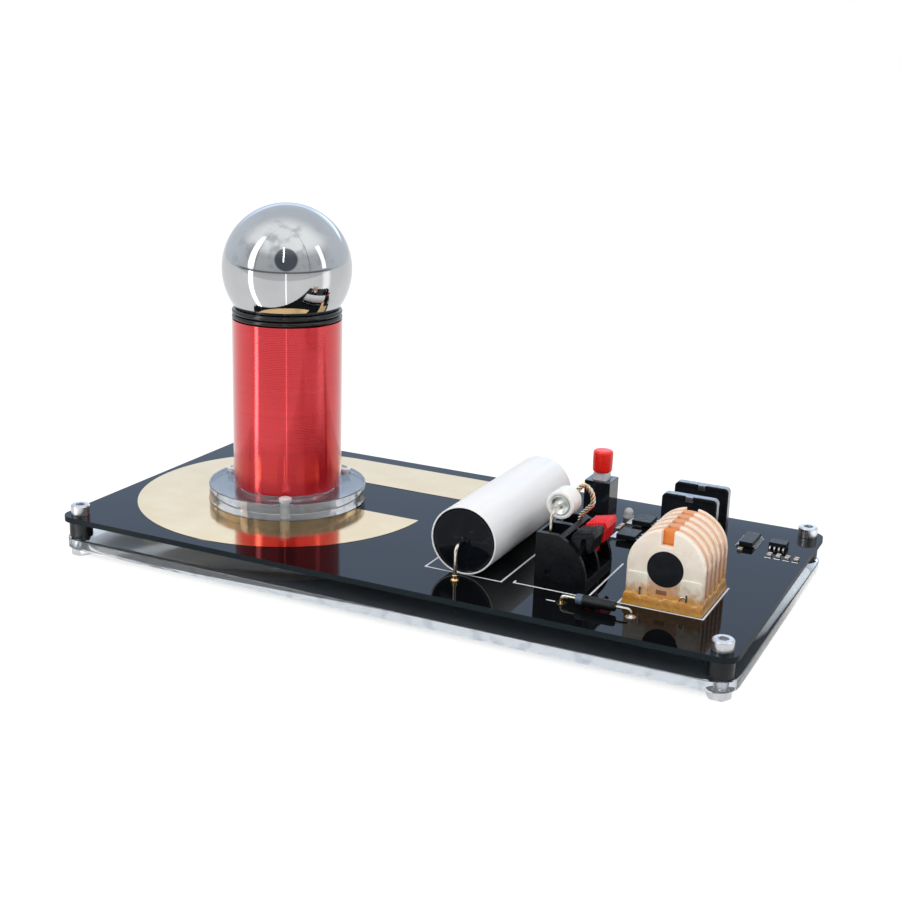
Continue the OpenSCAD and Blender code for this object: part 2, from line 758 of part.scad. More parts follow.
module ball_bush() color([0.75, 0.75, 0.76]) on_board(coil_x, coil_y, ball_z) difference() {
  intersection() {
    translate([0, 0, -ball_r]) cylinder(h = bush_h, d = bush_d);
    sphere(ball_r);
  }
  translate([0, 0, -ball_d]) cylinder(h = ball_d, d = stud_d + 2 * run_gap);
}

module ball_stud() color([0.75, 0.76, 0.78]) on_board(coil_x, coil_y, plug_low_z - stud_nut_h - stud_tip)
  cylinder(h = stud_tip + stud_nut_h + plug_floor_t + bush_h, d = stud_d);

module stud_nut() color("silver") on_board(coil_x, coil_y, plug_low_z - stud_nut_h)
  nut(stud_nut_af, stud_nut_h, stud_d + 2 * run_gap);

// Film capacitor, lying front to back
module along_cap(y) on_board(cap_x, cap_y + y, cap_axis_h) rotate([-90, 0, 0]) children();

module capacitor_sleeve() color([0.95, 0.95, 0.95]) along_cap(0) difference() {
  cylinder(h = cap_l, d = cap_d);
  translate([0, 0, -overrun]) cylinder(h = cap_l + 2 * overrun, d = cap_d - 2 * cap_sleeve_t);
}

cap_inner_d = cap_d - 2 * cap_sleeve_t - 2 * run_gap;
cap_roll_y = cap_seal_recess + cap_seal_t;
module capacitor_roll() color([0.75, 0.76, 0.8]) along_cap(cap_roll_y)
  cylinder(h = cap_l - 2 * cap_roll_y, d = cap_inner_d);

module capacitor_seals() color([0.08, 0.09, 0.11])
  for (y = [cap_seal_recess, cap_l - cap_seal_recess - cap_seal_t]) along_cap(y) difference() {
    cylinder(h = cap_seal_t, d = cap_inner_d);
    translate([0, 0, -overrun]) cylinder(h = cap_seal_t + 2 * overrun, d = cap_lead_d + 2 * run_gap);
  }

// One bent lead: out of the face, down in a bend, through the board
module cap_lead(y_face, dir) {
  start = [0, y_face, cap_axis_h];
  corner = [0, y_face + dir * (cap_roll_y + cap_leg_reach), cap_axis_h];
  foot = [corner[0], corner[1], -board_t - leg_below];
  on_board(cap_x, cap_y) swept_wire(bend_points(start, corner, foot, cap_leg_bend), cap_lead_d / 2,
                                    8, [1, 0, 0]);
}

module capacitor_leads() color([0.85, 0.82, 0.75]) {
  cap_lead(cap_roll_y, -1);
  cap_lead(cap_l - cap_roll_y, 1);
}

// Spring terminal with two ways, front and rear
module terminal_profile() intersection() {
  square([term_w, term_h]);
  translate([term_arc_x, term_arc_z]) circle(term_arc_r);
}

module terminal_housing() color([0.11, 0.12, 0.14]) on_board(term_x, term_y) difference() {
  carried_back(term_l) terminal_profile();
  for (i = [0, 1]) translate([0, way_low(i), 0]) {
    translate([recess_x, recess_rim, recess_floor])
      cube([recess_w, way_w - 2 * recess_rim, term_h]);
    translate([channel_x, 0, channel_floor]) cube([term_w, way_w, term_h]);
    translate([clip_leg_x, way_w / 2, -overrun])
      cylinder(h = recess_floor + 2 * overrun, d = leg_d + 2 * fit_gap);
  }
  translate([pin_x, term_wall / 2, pin_z]) rotate([-90, 0, 0])
    cylinder(h = term_l - term_wall, d = lever_pin_d + 2 * run_gap);
  translate([locating_dimple_x, 0, locating_dimple_z]) rotate([-90, 0, 0])
    cylinder(h = term_wall, d = locating_dimple_d, center = true);
}

// Side view of a lever: hub and arm inside the housing, ribbed pad on top, lip outside
module lever_profile() {
  pad_right = lever_pad_left + lever_pad_reach;
  pad_high = lever_pad_low + lever_pad_rise;
  polygon([[lever_pad_left, lever_pad_low], [pad_right, pad_high],
           [pad_right - lever_pad_t / 3, pad_high + lever_pad_t],
           [lever_pad_left + lever_pad_t / 3, lever_pad_low + lever_pad_t]]);
  polygon([[pin_x - lever_arm_w / 2, pin_z], [pin_x + lever_arm_w / 2, pin_z],
           [lever_pad_left + lever_arm_w + lever_gap, lever_pad_low + lever_pad_t],
           [lever_pad_left, lever_pad_low + lever_gap]]);
  polygon([[lever_lip_x, pad_high - lever_pad_rise / 4], [pad_right - lever_gap, pad_high + lever_gap],
           [lever_lip_x + lever_lip_t, pad_high - lever_lip_drop + lever_lip_t / 3],
           [lever_lip_x + lever_lip_t / 2, pad_high - lever_lip_drop],
           [lever_lip_x, pad_high - lever_lip_drop + lever_lip_t]]);
  translate([pin_x, pin_z]) circle(lever_hub_d / 2);
}

module lever(i) on_board(term_x, term_y + way_low(i) + lever_gap) difference() {
  union() {
    carried_back(lever_w) lever_profile();
    for (k = [0 : lever_ribs - 1])
      translate([lever_pad_left + lever_pad_t / 2 + k * (lever_pad_reach - lever_pad_t) / (lever_ribs - 1),
                 0, lever_pad_low + lever_pad_t - lever_rib_d / 8
                 + (k + lever_rib_rise_share) * lever_pad_rise / (lever_ribs - 1)])
        rotate([-90, 0, 0]) cylinder(h = lever_w, d = lever_rib_d, $fn = 24);
  }
  translate([pin_x, -overrun, pin_z]) rotate([-90, 0, 0])
    cylinder(h = lever_w + 2 * overrun, d = lever_pin_d + 2 * run_gap);
}

module front_lever() color([0.1, 0.11, 0.12]) lever(0);
module rear_lever() color([0.88, 0.14, 0.16]) lever(1);

module lever_pin() color([0.7, 0.71, 0.73])
  on_board(term_x + pin_x, term_y + term_wall / 2 + fit_gap, pin_z) rotate([-90, 0, 0])
    cylinder(h = term_l - term_wall - 2 * fit_gap, d = lever_pin_d);

module terminal_clips() color([0.78, 0.78, 0.8]) for (i = [0, 1])
  on_board(term_x, term_y + way_mid(i)) {
    translate([recess_x + fit_gap, -clip_w / 2, recess_floor]) carried_back(clip_w)
      polygon([[0, 0], [recess_w - 2 * fit_gap, 0], [recess_w - 2 * fit_gap, clip_t], [clip_t, clip_t],
               [clip_t, term_h - recess_floor - term_wall], [0, term_h - recess_floor - term_wall]]);
    translate([clip_leg_x, 0, 0]) leg(recess_floor + clip_t / 2);
  }

// Gas tube over the terminal, its axis front to back
module along_gas(y) on_board(gas_x, gas_y + y, gas_h) rotate([-90, 0, 0]) children();

module gas_tube_ceramic() color([0.93, 0.93, 0.9]) along_gas(0) difference() {
  cylinder(h = gas_l, d = gas_d);
  translate([0, 0, -overrun]) cylinder(h = gas_l + 2 * overrun, d = gas_d - 2 * gas_wall);
}

// Electrode: a cup that closes the end, with a blunt stem towards the other one
module electrode() {
  cup_r = gas_d / 2 - gas_wall - run_gap;
  cup_wall = cup_r / 4;
  stem_top = (gas_l - gas_spark_gap) / 2;
  floor_top = gas_cup_depth + cup_wall;
  rotate_extrude()
    polygon([[0, gas_cup_depth / 3], [cup_r / 3, gas_cup_depth / 3], [cup_r / 3, gas_cup_depth],
             [cup_r - cup_wall, gas_cup_depth], [cup_r - cup_wall, 0], [cup_r, 0],
             [cup_r, floor_top], [cup_r / 2, floor_top], [cup_r / 2, stem_top], [0, stem_top]]);
}

module gas_tube_electrodes() color([0.75, 0.76, 0.77]) {
  along_gas(0) electrode();
  along_gas(gas_l) mirror([0, 0, 1]) electrode();
}

// Places that the rear lead passes, from the tube's back face down into the rear way
rear_ys = [gas_y + gas_l, gas_y + gas_l * (1 + rear_back_share), rear_lead_y - rear_short_share * gas_l];
rear_zs = concat([for (s = rear_up_share) gas_h + s * gas_d],
  [term_h + rear_over_share * gas_d, term_h - rear_short_share * gas_d, gas_lead_low]);
rear_lead_route = [for (i = [0 : len(rear_right_share) - 1])
  [gas_x + rear_right_share[i] * gas_d, i < len(rear_ys) ? rear_ys[i] : rear_lead_y, rear_zs[i]]];

module gas_tube_leads() color([0.82, 0.8, 0.76]) {
  on_board(0, 0) {
    front_corner = [gas_x, front_lead_y, gas_h];
    swept_wire(bend_points([gas_x, gas_y + gas_cup_depth / 3, gas_h], front_corner,
                           [gas_x, front_lead_y, gas_lead_low], cap_leg_bend),
               gas_lead_d / 2, 8, [1, 0, 0]);
    swept_wire(concat([rear_lead_route[0] - [0, gas_cup_depth / 3, 0]], curve(rear_lead_route)),
               gas_lead_d / 2, 8, [1, 0, 0]);
  }
}

// Push switch
module centred_box(w, d, h) translate([-w / 2, -d / 2, 0]) cube([w, d, h]);
module at_switch(z = 0) on_board(switch_mid[0], switch_mid[1], z) children();
foot_top = switch_h - switch_roof_t - fit_gap;
foot_low = foot_top - stem_foot_h;

module switch_housing() color([0.12, 0.13, 0.15]) at_switch() difference() {
  centred_box(switch_w, switch_depth, switch_h);
  translate([0, 0, switch_wall])
    centred_box(switch_w - 2 * switch_wall, switch_depth - 2 * switch_wall,
                switch_h - switch_wall - switch_roof_t);
  centred_box(stem_w + 2 * slide_gap, stem_w + 2 * slide_gap, switch_h + overrun);
}

module switch_plunger() color([0.9, 0.88, 0.88]) at_switch() {
  translate([0, 0, foot_low]) centred_box(stem_foot_w, stem_foot_w, stem_foot_h);
  translate([0, 0, foot_low]) centred_box(stem_w, stem_w, switch_h + cap_low - foot_low);
  translate([0, 0, foot_low])
    centred_box(stem_top_w, stem_top_w, switch_h + cap_low + cap_socket_h - foot_low - fit_gap);
}

module switch_cap() color([0.9, 0.14, 0.12]) at_switch(switch_h + cap_low) difference() {
  cap_r = switch_cap_d / 2;
  rotate_extrude() {
    square([cap_r - switch_cap_round, switch_cap_h]);
    square([cap_r, switch_cap_h - switch_cap_round]);
    translate([cap_r - switch_cap_round, switch_cap_h - switch_cap_round]) circle(switch_cap_round);
  }
  translate([0, 0, -overrun])
    centred_box(stem_top_w + 2 * run_gap, stem_top_w + 2 * run_gap, cap_socket_h + overrun);
}

spring_low = switch_wall + spring_wire_d / 2 + run_gap;
spring_high = foot_low - spring_wire_d / 2 - run_gap;
module switch_spring() color("silver") at_switch() swept_wire(
  [for (i = [0 : spring_curls * spring_rings])
    let (a = 360 * i / spring_rings)
    [spring_d / 2 * cos(a), spring_d / 2 * sin(a),
     spring_low + (spring_high - spring_low) * i / (spring_curls * spring_rings)]],
  spring_wire_d / 2, 6);

module switch_pins() color([0.8, 0.8, 0.8])
  for (p = switch_pin_spots) on_board(p[0], p[1]) leg(0);

// Step-up transformer
function slot_low(i) = hv_front_t + i * (hv_slot_w + hv_rib_t);
module along_hv(y) on_board(hv_mid_x, hv_y + y, hv_axis_h) rotate([-90, 0, 0]) children();
module hv_plate(y, t, feet = false) on_board(hv_mid_x, hv_y + y) carried_back(t) difference() {
  union() {
    intersection() {
      translate([0, hv_axis_h]) circle(hv_arch_r);
      translate([-hv_w, hv_resin_h]) square([2 * hv_w, 2 * hv_axis_h]);
    }
    translate([-hv_w / 2, hv_resin_h]) square([hv_w, hv_axis_h - hv_resin_h]);
  }
  translate([-hv_notch_w / 2, hv_axis_h + hv_arch_r - hv_notch_drop])
    square([hv_notch_w, hv_notch_drop + overrun]);
  if (feet) translate([-hv_foot_gap / 2, 0]) square([hv_foot_gap, hv_foot_gap_h]);
}

module hv_bobbin() color([0.91, 0.85, 0.77]) difference() {
  union() {
    hv_plate(0, hv_front_t, true);
    for (i = [1 : hv_slots - 1]) hv_plate(slot_low(i) - hv_rib_t, hv_rib_t);
    hv_plate(hv_l - hv_back_t, hv_back_t);
    along_hv(0) cylinder(h = hv_l, r = hv_bore_r + hv_hub_wall);
  }
  along_hv(-overrun) cylinder(h = hv_l + 2 * overrun, r = hv_bore_r);
}

module hv_windings() color([0.72, 0.45, 0.28])
  for (i = [0 : hv_slots - 1]) difference() {
    along_hv(slot_low(i) + fit_gap)
      cylinder(h = hv_slot_w - 2 * fit_gap, d = hv_winding_d);
    along_hv(slot_low(i)) cylinder(h = hv_slot_w, r = hv_bore_r + hv_hub_wall + run_gap);
    on_board(hv_x, hv_y, -overrun) cube([hv_w, hv_l, hv_resin_h + overrun + fit_gap]);
  }

module hv_core() color([0.14, 0.15, 0.17]) along_hv(-hv_core_proud)
  cylinder(h = hv_l + hv_core_proud, d = hv_core_d);

module hv_primary() color([0.72, 0.4, 0.2]) along_hv(hv_front_t) difference() {
  cylinder(h = hv_l - hv_front_t - hv_back_t, r = hv_bore_r - fit_gap);
  translate([0, 0, -overrun]) cylinder(h = hv_l, r = hv_bore_r - fit_gap - hv_primary_t);
}

module hv_resin() color([0.8, 0.55, 0.2])
  on_board(hv_mid_x, hv_y + (hv_l - hv_ledge) / 2)
    centred_box(hv_w, hv_l + hv_ledge, hv_resin_h);

module hv_pins() color([0.8, 0.78, 0.72]) {
  for (p = hv_pin_spots) on_board(p[0], p[1]) leg(0);
  for (s = [-1, 1])
    on_board(hv_mid_x + s * hv_w * hv_front_pin_share, hv_y - hv_ledge / 2, hv_resin_h)
      cylinder(h = hv_front_pin_h, d = hv_front_pin_d, $fn = 24);
}

// Rectifier, lying left to right
module rectifier_body() color([0.1, 0.1, 0.11]) on_board(rect_x, rect_y, rect_h) rotate([0, 90, 0])
  cylinder(h = rect_l, d = rect_d);

module rectifier_leads() color([0.85, 0.83, 0.78]) on_board(rect_x, rect_y)
  for (side = [0, 1]) {
    face = side * rect_l;
    dir = 2 * side - 1;
    foot = [face + dir * rect_reach, 0, -board_t - leg_below];
    swept_wire(bend_points([face, 0, rect_h], [face + dir * rect_reach, 0, rect_h], foot, rect_bend),
               rect_lead_d / 2, 8, [0, 1, 0]);
  }

// Upright chokes: black core halves in a bright clip whose tab folds over the front
module choke_outline(inset) {
  w = choke_w - 2 * inset;
  h = choke_h - inset;
  r = choke_corner_r - inset / 2;
  translate([inset, 0]) {
    square([w, h - r]);
    translate([r, 0]) square([w - 2 * r, h]);
    for (x = [r, w - r]) translate([x, h - r]) circle(r);
  }
}

module at_chokes() for (y = choke_rows) on_board(choke_x, y) children();

module choke_cores() color([0.09, 0.1, 0.11]) at_chokes() difference() {
  union() {
    carried_back(choke_border_t) choke_outline(0);
    translate([0, choke_border_t, 0]) carried_back(choke_depth - choke_border_t)
      choke_outline(choke_band_t + fit_gap);
  }
  translate([choke_border_w, -overrun, choke_border_w])
    cube([choke_w - 2 * choke_border_w, overrun + choke_face_recess, choke_h - 2 * choke_border_w]);
  translate([(choke_w - choke_tab_w) / 2 - fit_gap, -overrun, choke_h - choke_tab_h - fit_gap])
    cube([choke_tab_w + 2 * fit_gap, overrun + choke_face_recess, choke_h]);
  translate([(choke_w - choke_tab_w) / 2 - fit_gap, -overrun, choke_h - choke_band_t - fit_gap])
    cube([choke_tab_w + 2 * fit_gap, choke_border_t + 2 * overrun, choke_h]);
  translate([(choke_w - choke_cavity_w) / 2, choke_border_t, (choke_h - choke_cavity_h) / 2])
    cube([choke_cavity_w, choke_cavity_depth, choke_cavity_h]);
}

module choke_clips() color([0.82, 0.84, 0.87]) at_chokes() {
  translate([0, choke_border_t, 0]) carried_back(choke_depth - choke_border_t) difference() {
    choke_outline(0);
    choke_outline(choke_band_t);
  }
  translate([(choke_w - choke_tab_w) / 2, 0, choke_h - choke_band_t])
    cube([choke_tab_w, choke_border_t, choke_band_t]);
  translate([(choke_w - choke_tab_w) / 2, 0, choke_h - choke_tab_h])
    cube([choke_tab_w, choke_tab_t - run_gap, choke_tab_h]);
}

module choke_windings() color([0.7, 0.4, 0.22]) at_chokes()
  translate([(choke_w - choke_cavity_w) / 2 + fit_gap, choke_border_t + fit_gap,
             (choke_h - choke_cavity_h) / 2 + fit_gap])
    cube([choke_cavity_w - 2 * fit_gap, choke_cavity_depth - 2 * fit_gap, choke_cavity_h - 2 * fit_gap]);

module choke_pins() color([0.8, 0.8, 0.8])
  for (p = choke_pin_spots) on_board(p[0], p[1]) leg(0);

// Leads of the surface parts: an outline in X and Z that leaves a side and lands on the board
module lead_outline(side_h) polygon([
  [0, side_h], [lead_reach / 2, side_h], [lead_reach * lead_foot_share, lead_t], [lead_reach, lead_t],
  [lead_reach, 0], [lead_reach / 2, 0], [lead_reach / 2 - lead_t, side_h - lead_t], [0, side_h - lead_t]]);

module lead_row(count, pitch, w) for (k = [0 : count - 1])
  translate([0, k * pitch - (count - 1) * pitch / 2 - w / 2, 0]) carried_back(w) lead_outline(lead_drop);

fet_rows = [fet_front_y, fet_rear_y];
module transistor_bodies() color([0.09, 0.09, 0.1])
  for (y = fet_rows) on_board(fet_x, y, fet_tab_t) cube([fet_w, fet_l, fet_h - fet_tab_t]);

module transistor_metal() color([0.8, 0.82, 0.84]) for (y = fet_rows) {
  on_board(fet_x - fet_tab_reach, y + (fet_l - fet_tab_w) / 2)
    cube([fet_tab_reach + fet_w / 2, fet_tab_w, fet_tab_t]);
  on_board(fet_x + fet_w, y + fet_l / 2) scale(fet_lead_scale)
    lead_row(3, fet_lead_pitch / fet_lead_scale, fet_lead_w / fet_lead_scale);
}

module chip_bodies() color([0.1, 0.1, 0.11]) {
  on_board(driver_x, driver_y, lead_t) cube([chip_narrow, driver_l, chip_h - lead_t]);
  on_board(timer_x, timer_y, lead_t) cube([timer_l, chip_narrow, chip_h - lead_t]);
}

module chip_pins() color([0.85, 0.87, 0.9]) {
  on_board(driver_x + chip_narrow / 2, driver_y + driver_l / 2) for (s = [0, 180])
    rotate(s) translate([chip_narrow / 2, 0, 0]) lead_row(8, chip_pitch, chip_lead_w);
  on_board(timer_x + timer_l / 2, timer_y + chip_narrow / 2) for (s = [90, 270])
    rotate(s) translate([chip_narrow / 2, 0, 0]) lead_row(4, chip_pitch, chip_lead_w);
}

// Small two-ended parts, their ends front and back
small_row = [for (k = [0 : small_row_count - 1]) [small_row_x + k * small_row_pitch, small_row_y]];
small_column = [for (k = [0 : small_column_count - 1])
  [fet_x - small_column_to_fet, fet_rear_y - small_column_in - k * small_column_pitch]];
small_places = concat(small_row, small_column, [[driver_x + small_single_in, small_row_y]]);
module small_part_bodies() color([0.75, 0.55, 0.3])
  for (p = small_places) on_board(p[0], p[1])
    centred_box(small_w, small_l - 2 * small_end, small_h);

module small_part_ends() color([0.85, 0.87, 0.9])
  for (p = small_places, s = [-1, 1]) on_board(p[0], p[1] + s * (small_l - small_end) / 2)
    centred_box(small_w, small_end, small_h);

module indicator_lamp() color([0.9, 0.9, 0.85]) on_board(lamp_x, lamp_y) rotate_extrude() {
  square([lamp_rim_d / 2, lamp_rim_h]);
  square([lamp_d / 2, lamp_h - lamp_d / 2]);
  intersection() {
    translate([0, lamp_h - lamp_d / 2]) circle(lamp_d / 2);
    square([lamp_d, lamp_h]);
  }
}

// Low power socket at the back edge, its mouth to the back: metal shell round a flat tongue
module socket_outline(inset) {
  r = socket_h / 2;
  half = socket_w / 2 - r;
  translate([0, r]) {
    square([2 * half, 2 * (r - inset)], center = true);
    for (s = [-1, 1]) translate([s * half, 0]) circle(r - inset);
  }
}

module power_socket_shell() color([0.8, 0.81, 0.83]) {
  on_board(socket_mid_x, board_w - socket_l) difference() {
    carried_back(socket_l) socket_outline(0);
    translate([0, socket_wall, 0]) carried_back(socket_l) socket_outline(socket_wall);
  }
  for (p = socket_peg_spots) on_board(p[0], p[1]) leg(socket_peg_h);
}

module power_socket_core() color([0.09, 0.09, 0.1])
  on_board(socket_mid_x, board_w - socket_l + socket_wall) {
    carried_back(socket_l - socket_wall - socket_tongue_l) socket_outline(socket_wall + run_gap);
    translate([-socket_tongue_w / 2, 0, (socket_h - socket_tongue_t) / 2])
      cube([socket_tongue_w, socket_l - 2 * socket_wall, socket_tongue_t]);
  }

base_plate();
circuit_board();
primary_turn();
board_markings();
corner_screws();
corner_spacers();
corner_nuts();
coil_flange();
flange_screws();
flange_nuts();
coil_former();
winding_core();
secondary_winding();
winding_leads();
top_plug();
collar_rings();
ball_stud();
stud_nut();
ball_shell();
ball_bush();
capacitor_sleeve();
capacitor_roll();
capacitor_seals();
capacitor_leads();
terminal_housing();
front_lever();
rear_lever();
lever_pin();
terminal_clips();
gas_tube_ceramic();
gas_tube_electrodes();
gas_tube_leads();
switch_housing();
switch_plunger();
switch_cap();
switch_spring();
switch_pins();
hv_bobbin();
hv_windings();
hv_core();
hv_primary();
hv_resin();
hv_pins();
rectifier_body();
rectifier_leads();
choke_cores();
choke_clips();
choke_windings();
choke_pins();
transistor_bodies();
transistor_metal();
chip_bodies();
chip_pins();
small_part_bodies();
small_part_ends();
indicator_lamp();
power_socket_shell();
power_socket_core();
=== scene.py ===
import json
import math

import bmesh
import bpy
import numpy as np
from mathutils import Matrix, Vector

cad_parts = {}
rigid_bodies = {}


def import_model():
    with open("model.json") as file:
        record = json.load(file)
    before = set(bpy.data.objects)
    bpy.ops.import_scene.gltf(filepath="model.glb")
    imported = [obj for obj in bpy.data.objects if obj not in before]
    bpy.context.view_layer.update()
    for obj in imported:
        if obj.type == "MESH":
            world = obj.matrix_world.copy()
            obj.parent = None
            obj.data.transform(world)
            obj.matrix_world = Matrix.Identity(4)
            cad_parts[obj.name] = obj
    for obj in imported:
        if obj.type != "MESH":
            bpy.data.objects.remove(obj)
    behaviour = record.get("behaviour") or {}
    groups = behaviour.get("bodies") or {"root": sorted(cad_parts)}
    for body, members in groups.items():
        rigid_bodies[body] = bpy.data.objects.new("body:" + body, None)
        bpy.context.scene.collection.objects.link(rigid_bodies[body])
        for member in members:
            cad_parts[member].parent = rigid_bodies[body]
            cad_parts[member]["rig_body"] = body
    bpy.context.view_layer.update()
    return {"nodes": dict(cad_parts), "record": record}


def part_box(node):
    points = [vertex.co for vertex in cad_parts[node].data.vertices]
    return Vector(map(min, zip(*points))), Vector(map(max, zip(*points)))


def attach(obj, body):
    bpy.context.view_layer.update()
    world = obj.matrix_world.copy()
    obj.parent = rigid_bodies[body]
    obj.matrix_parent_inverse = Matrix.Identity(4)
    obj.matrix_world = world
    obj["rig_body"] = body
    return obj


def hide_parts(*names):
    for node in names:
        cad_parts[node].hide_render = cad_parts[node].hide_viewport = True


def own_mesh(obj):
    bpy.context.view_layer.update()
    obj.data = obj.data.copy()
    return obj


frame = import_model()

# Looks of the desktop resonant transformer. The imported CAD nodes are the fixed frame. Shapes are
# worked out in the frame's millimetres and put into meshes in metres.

MM = 0.001
slot_of = {part["node"]: part["material_slot"] for part in frame["record"]["subparts"]}
finishes = {}
dressed = set()


def span(node):
    """Lowest and highest corner of a CAD node, in millimetres."""
    low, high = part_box(node)
    return np.array(low) / MM, np.array(high) / MM


# Places that several pieces share, read from the CAD nodes
TOP = span("circuit_board")[1][2]
tube_low, tube_high = span("coil_former")
COIL = (tube_low + tube_high) / 2
ball_low, ball_high = span("ball_shell")
sleeve_low, sleeve_high = span("capacitor_sleeve")
CAP = (sleeve_low + sleeve_high) / 2
tube_end_low, tube_end_high = span("gas_tube_ceramic")
GAS = (tube_end_low + tube_end_high) / 2
arch_low, arch_high = span("hv_bobbin")
rod_low, rod_high = span("hv_core")
ROD = (rod_low + rod_high) / 2
diode_low, diode_high = span("rectifier_body")
DIODE = (diode_low + diode_high) / 2
# Leads with a soldered foot end below the board
LEAD_END = TOP - 2.8
# The step-up transformer's slots: five, between ribs 2 mm thick and end plates of 2.2 and 1.6 mm
SLOTS, RIB, FRONT_T, BACK_T = 5, 2.0, 2.2, 1.6
SLOT_W = (arch_high[1] - arch_low[1] - FRONT_T - BACK_T - (SLOTS - 1) * RIB) / SLOTS
SLOT_START, SLOT_PITCH = arch_low[1] + FRONT_T, SLOT_W + RIB


# ---- finishes ----

def linear(hex_colour):
    """An sRGB hex colour as linear light, with full alpha."""
    c = np.array([int(hex_colour[i:i + 2], 16) for i in (0, 2, 4)]) / 255
    return (*np.where(c <= 0.04045, c / 12.92, ((c + 0.055) / 1.055) ** 2.4), 1.0)


def node(tree, kind, inputs=None, **settings):
    """Adds a node, sets it, and gives each input a value or another node's output."""
    made = tree.nodes.new("ShaderNode" + kind)
    for name, value in settings.items():
        setattr(made, name, value)
    for key, value in (inputs or {}).items():
        if isinstance(value, bpy.types.NodeSocket):
            tree.links.new(value, made.inputs[key])
        else:
            made.inputs[key].default_value = value
    return made


def calc(tree, operation, first, second=0.0):
    """A number worked out from one or two others."""
    return node(tree, "Math", {0: first, 1: second}, operation=operation).outputs[0]


def away(tree, value, middle):
    """How far a value lies from a middle, either way."""
    return calc(tree, "ABSOLUTE", calc(tree, "SUBTRACT", value, middle))


def ramp(tree, value, low, high, start=0.0, end=1.0, smooth=False):
    """A value that goes from start to end as another goes from low to high."""
    return node(tree, "MapRange", {"Value": value, "From Min": low, "From Max": high, "To Min": start,
                                   "To Max": end},
                interpolation_type="SMOOTHSTEP" if smooth else "LINEAR").outputs["Result"]


def stretched(tree, where, scale):
    """Coordinates scaled along each axis."""
    return node(tree, "Mapping", {"Vector": where, "Scale": scale}).outputs["Vector"]


def axes(tree, vector):
    """A vector's X, Y and Z."""
    return node(tree, "SeparateXYZ", {"Vector": vector}).outputs


def surface(name, **fixed):
    """A finish with one Principled shader, kept under its name; fixed values sit on the shader's
    own sockets. Gives back its tree, its shader and object coordinates in millimetres."""
    material = bpy.data.materials.new(name)
    material.use_nodes = True
    finishes[name] = material
    tree = material.node_tree
    shader = tree.nodes["Principled BSDF"]
    for key, value in fixed.items():
        socket = key.replace("_", " ").title().replace("Ior", "IOR")
        shader.inputs[socket].default_value = value
    return tree, shader, stretched(tree, node(tree, "TexCoord").outputs["Object"], (1 / MM,) * 3)


def wander(tree, where, size, low, high, detail=3.0):
    """A value that wanders from low to high over patches of a size in millimetres."""
    noise = node(tree, "TexNoise", {"Vector": where, "Scale": 1 / size, "Detail": detail})
    return ramp(tree, noise.outputs["Fac"], 0.3, 0.7, low, high)


def blend_colours(tree, share, first, second):
    """One colour where the share is 0, the other where it is 1."""
    colours = [linear(c) if isinstance(c, str) else c for c in (first, second)]
    return node(tree, "Mix", {0: share, 6: colours[0], 7: colours[1]}, data_type="RGBA").outputs[2]


def patches(tree, where, size, first, second, detail=3.0):
    """Two colours in patches of a size in millimetres."""
    return blend_colours(tree, wander(tree, where, size, 0, 1, detail), first, second)


def relief(tree, height, depth):
    """A bump of a depth in millimetres."""
    return node(tree, "Bump", {"Height": height, "Distance": depth * MM, "Strength": 1.0}).outputs["Normal"]


def ripples(tree, where, size, depth, detail=3.0):
    """A relief of a size and a depth in millimetres."""
    return relief(tree, wander(tree, where, size, 0, 1, detail), depth)


def dress(tree, shader, colour, rough, normal):
    """Links a finish's colour, roughness and relief to its shader."""
    for socket, value in (("Base Color", colour), ("Roughness", rough), ("Normal", normal)):
        tree.links.new(value, shader.inputs[socket])


def cut_side(tree, low, high):
    """1 on upright faces and 0 on level ones, from how far the normal points up or down."""
    up = axes(tree, node(tree, "NewGeometry").outputs["Normal"])["Z"]
    return ramp(tree, calc(tree, "ABSOLUTE", up), low, high, 1.0, 0.0)


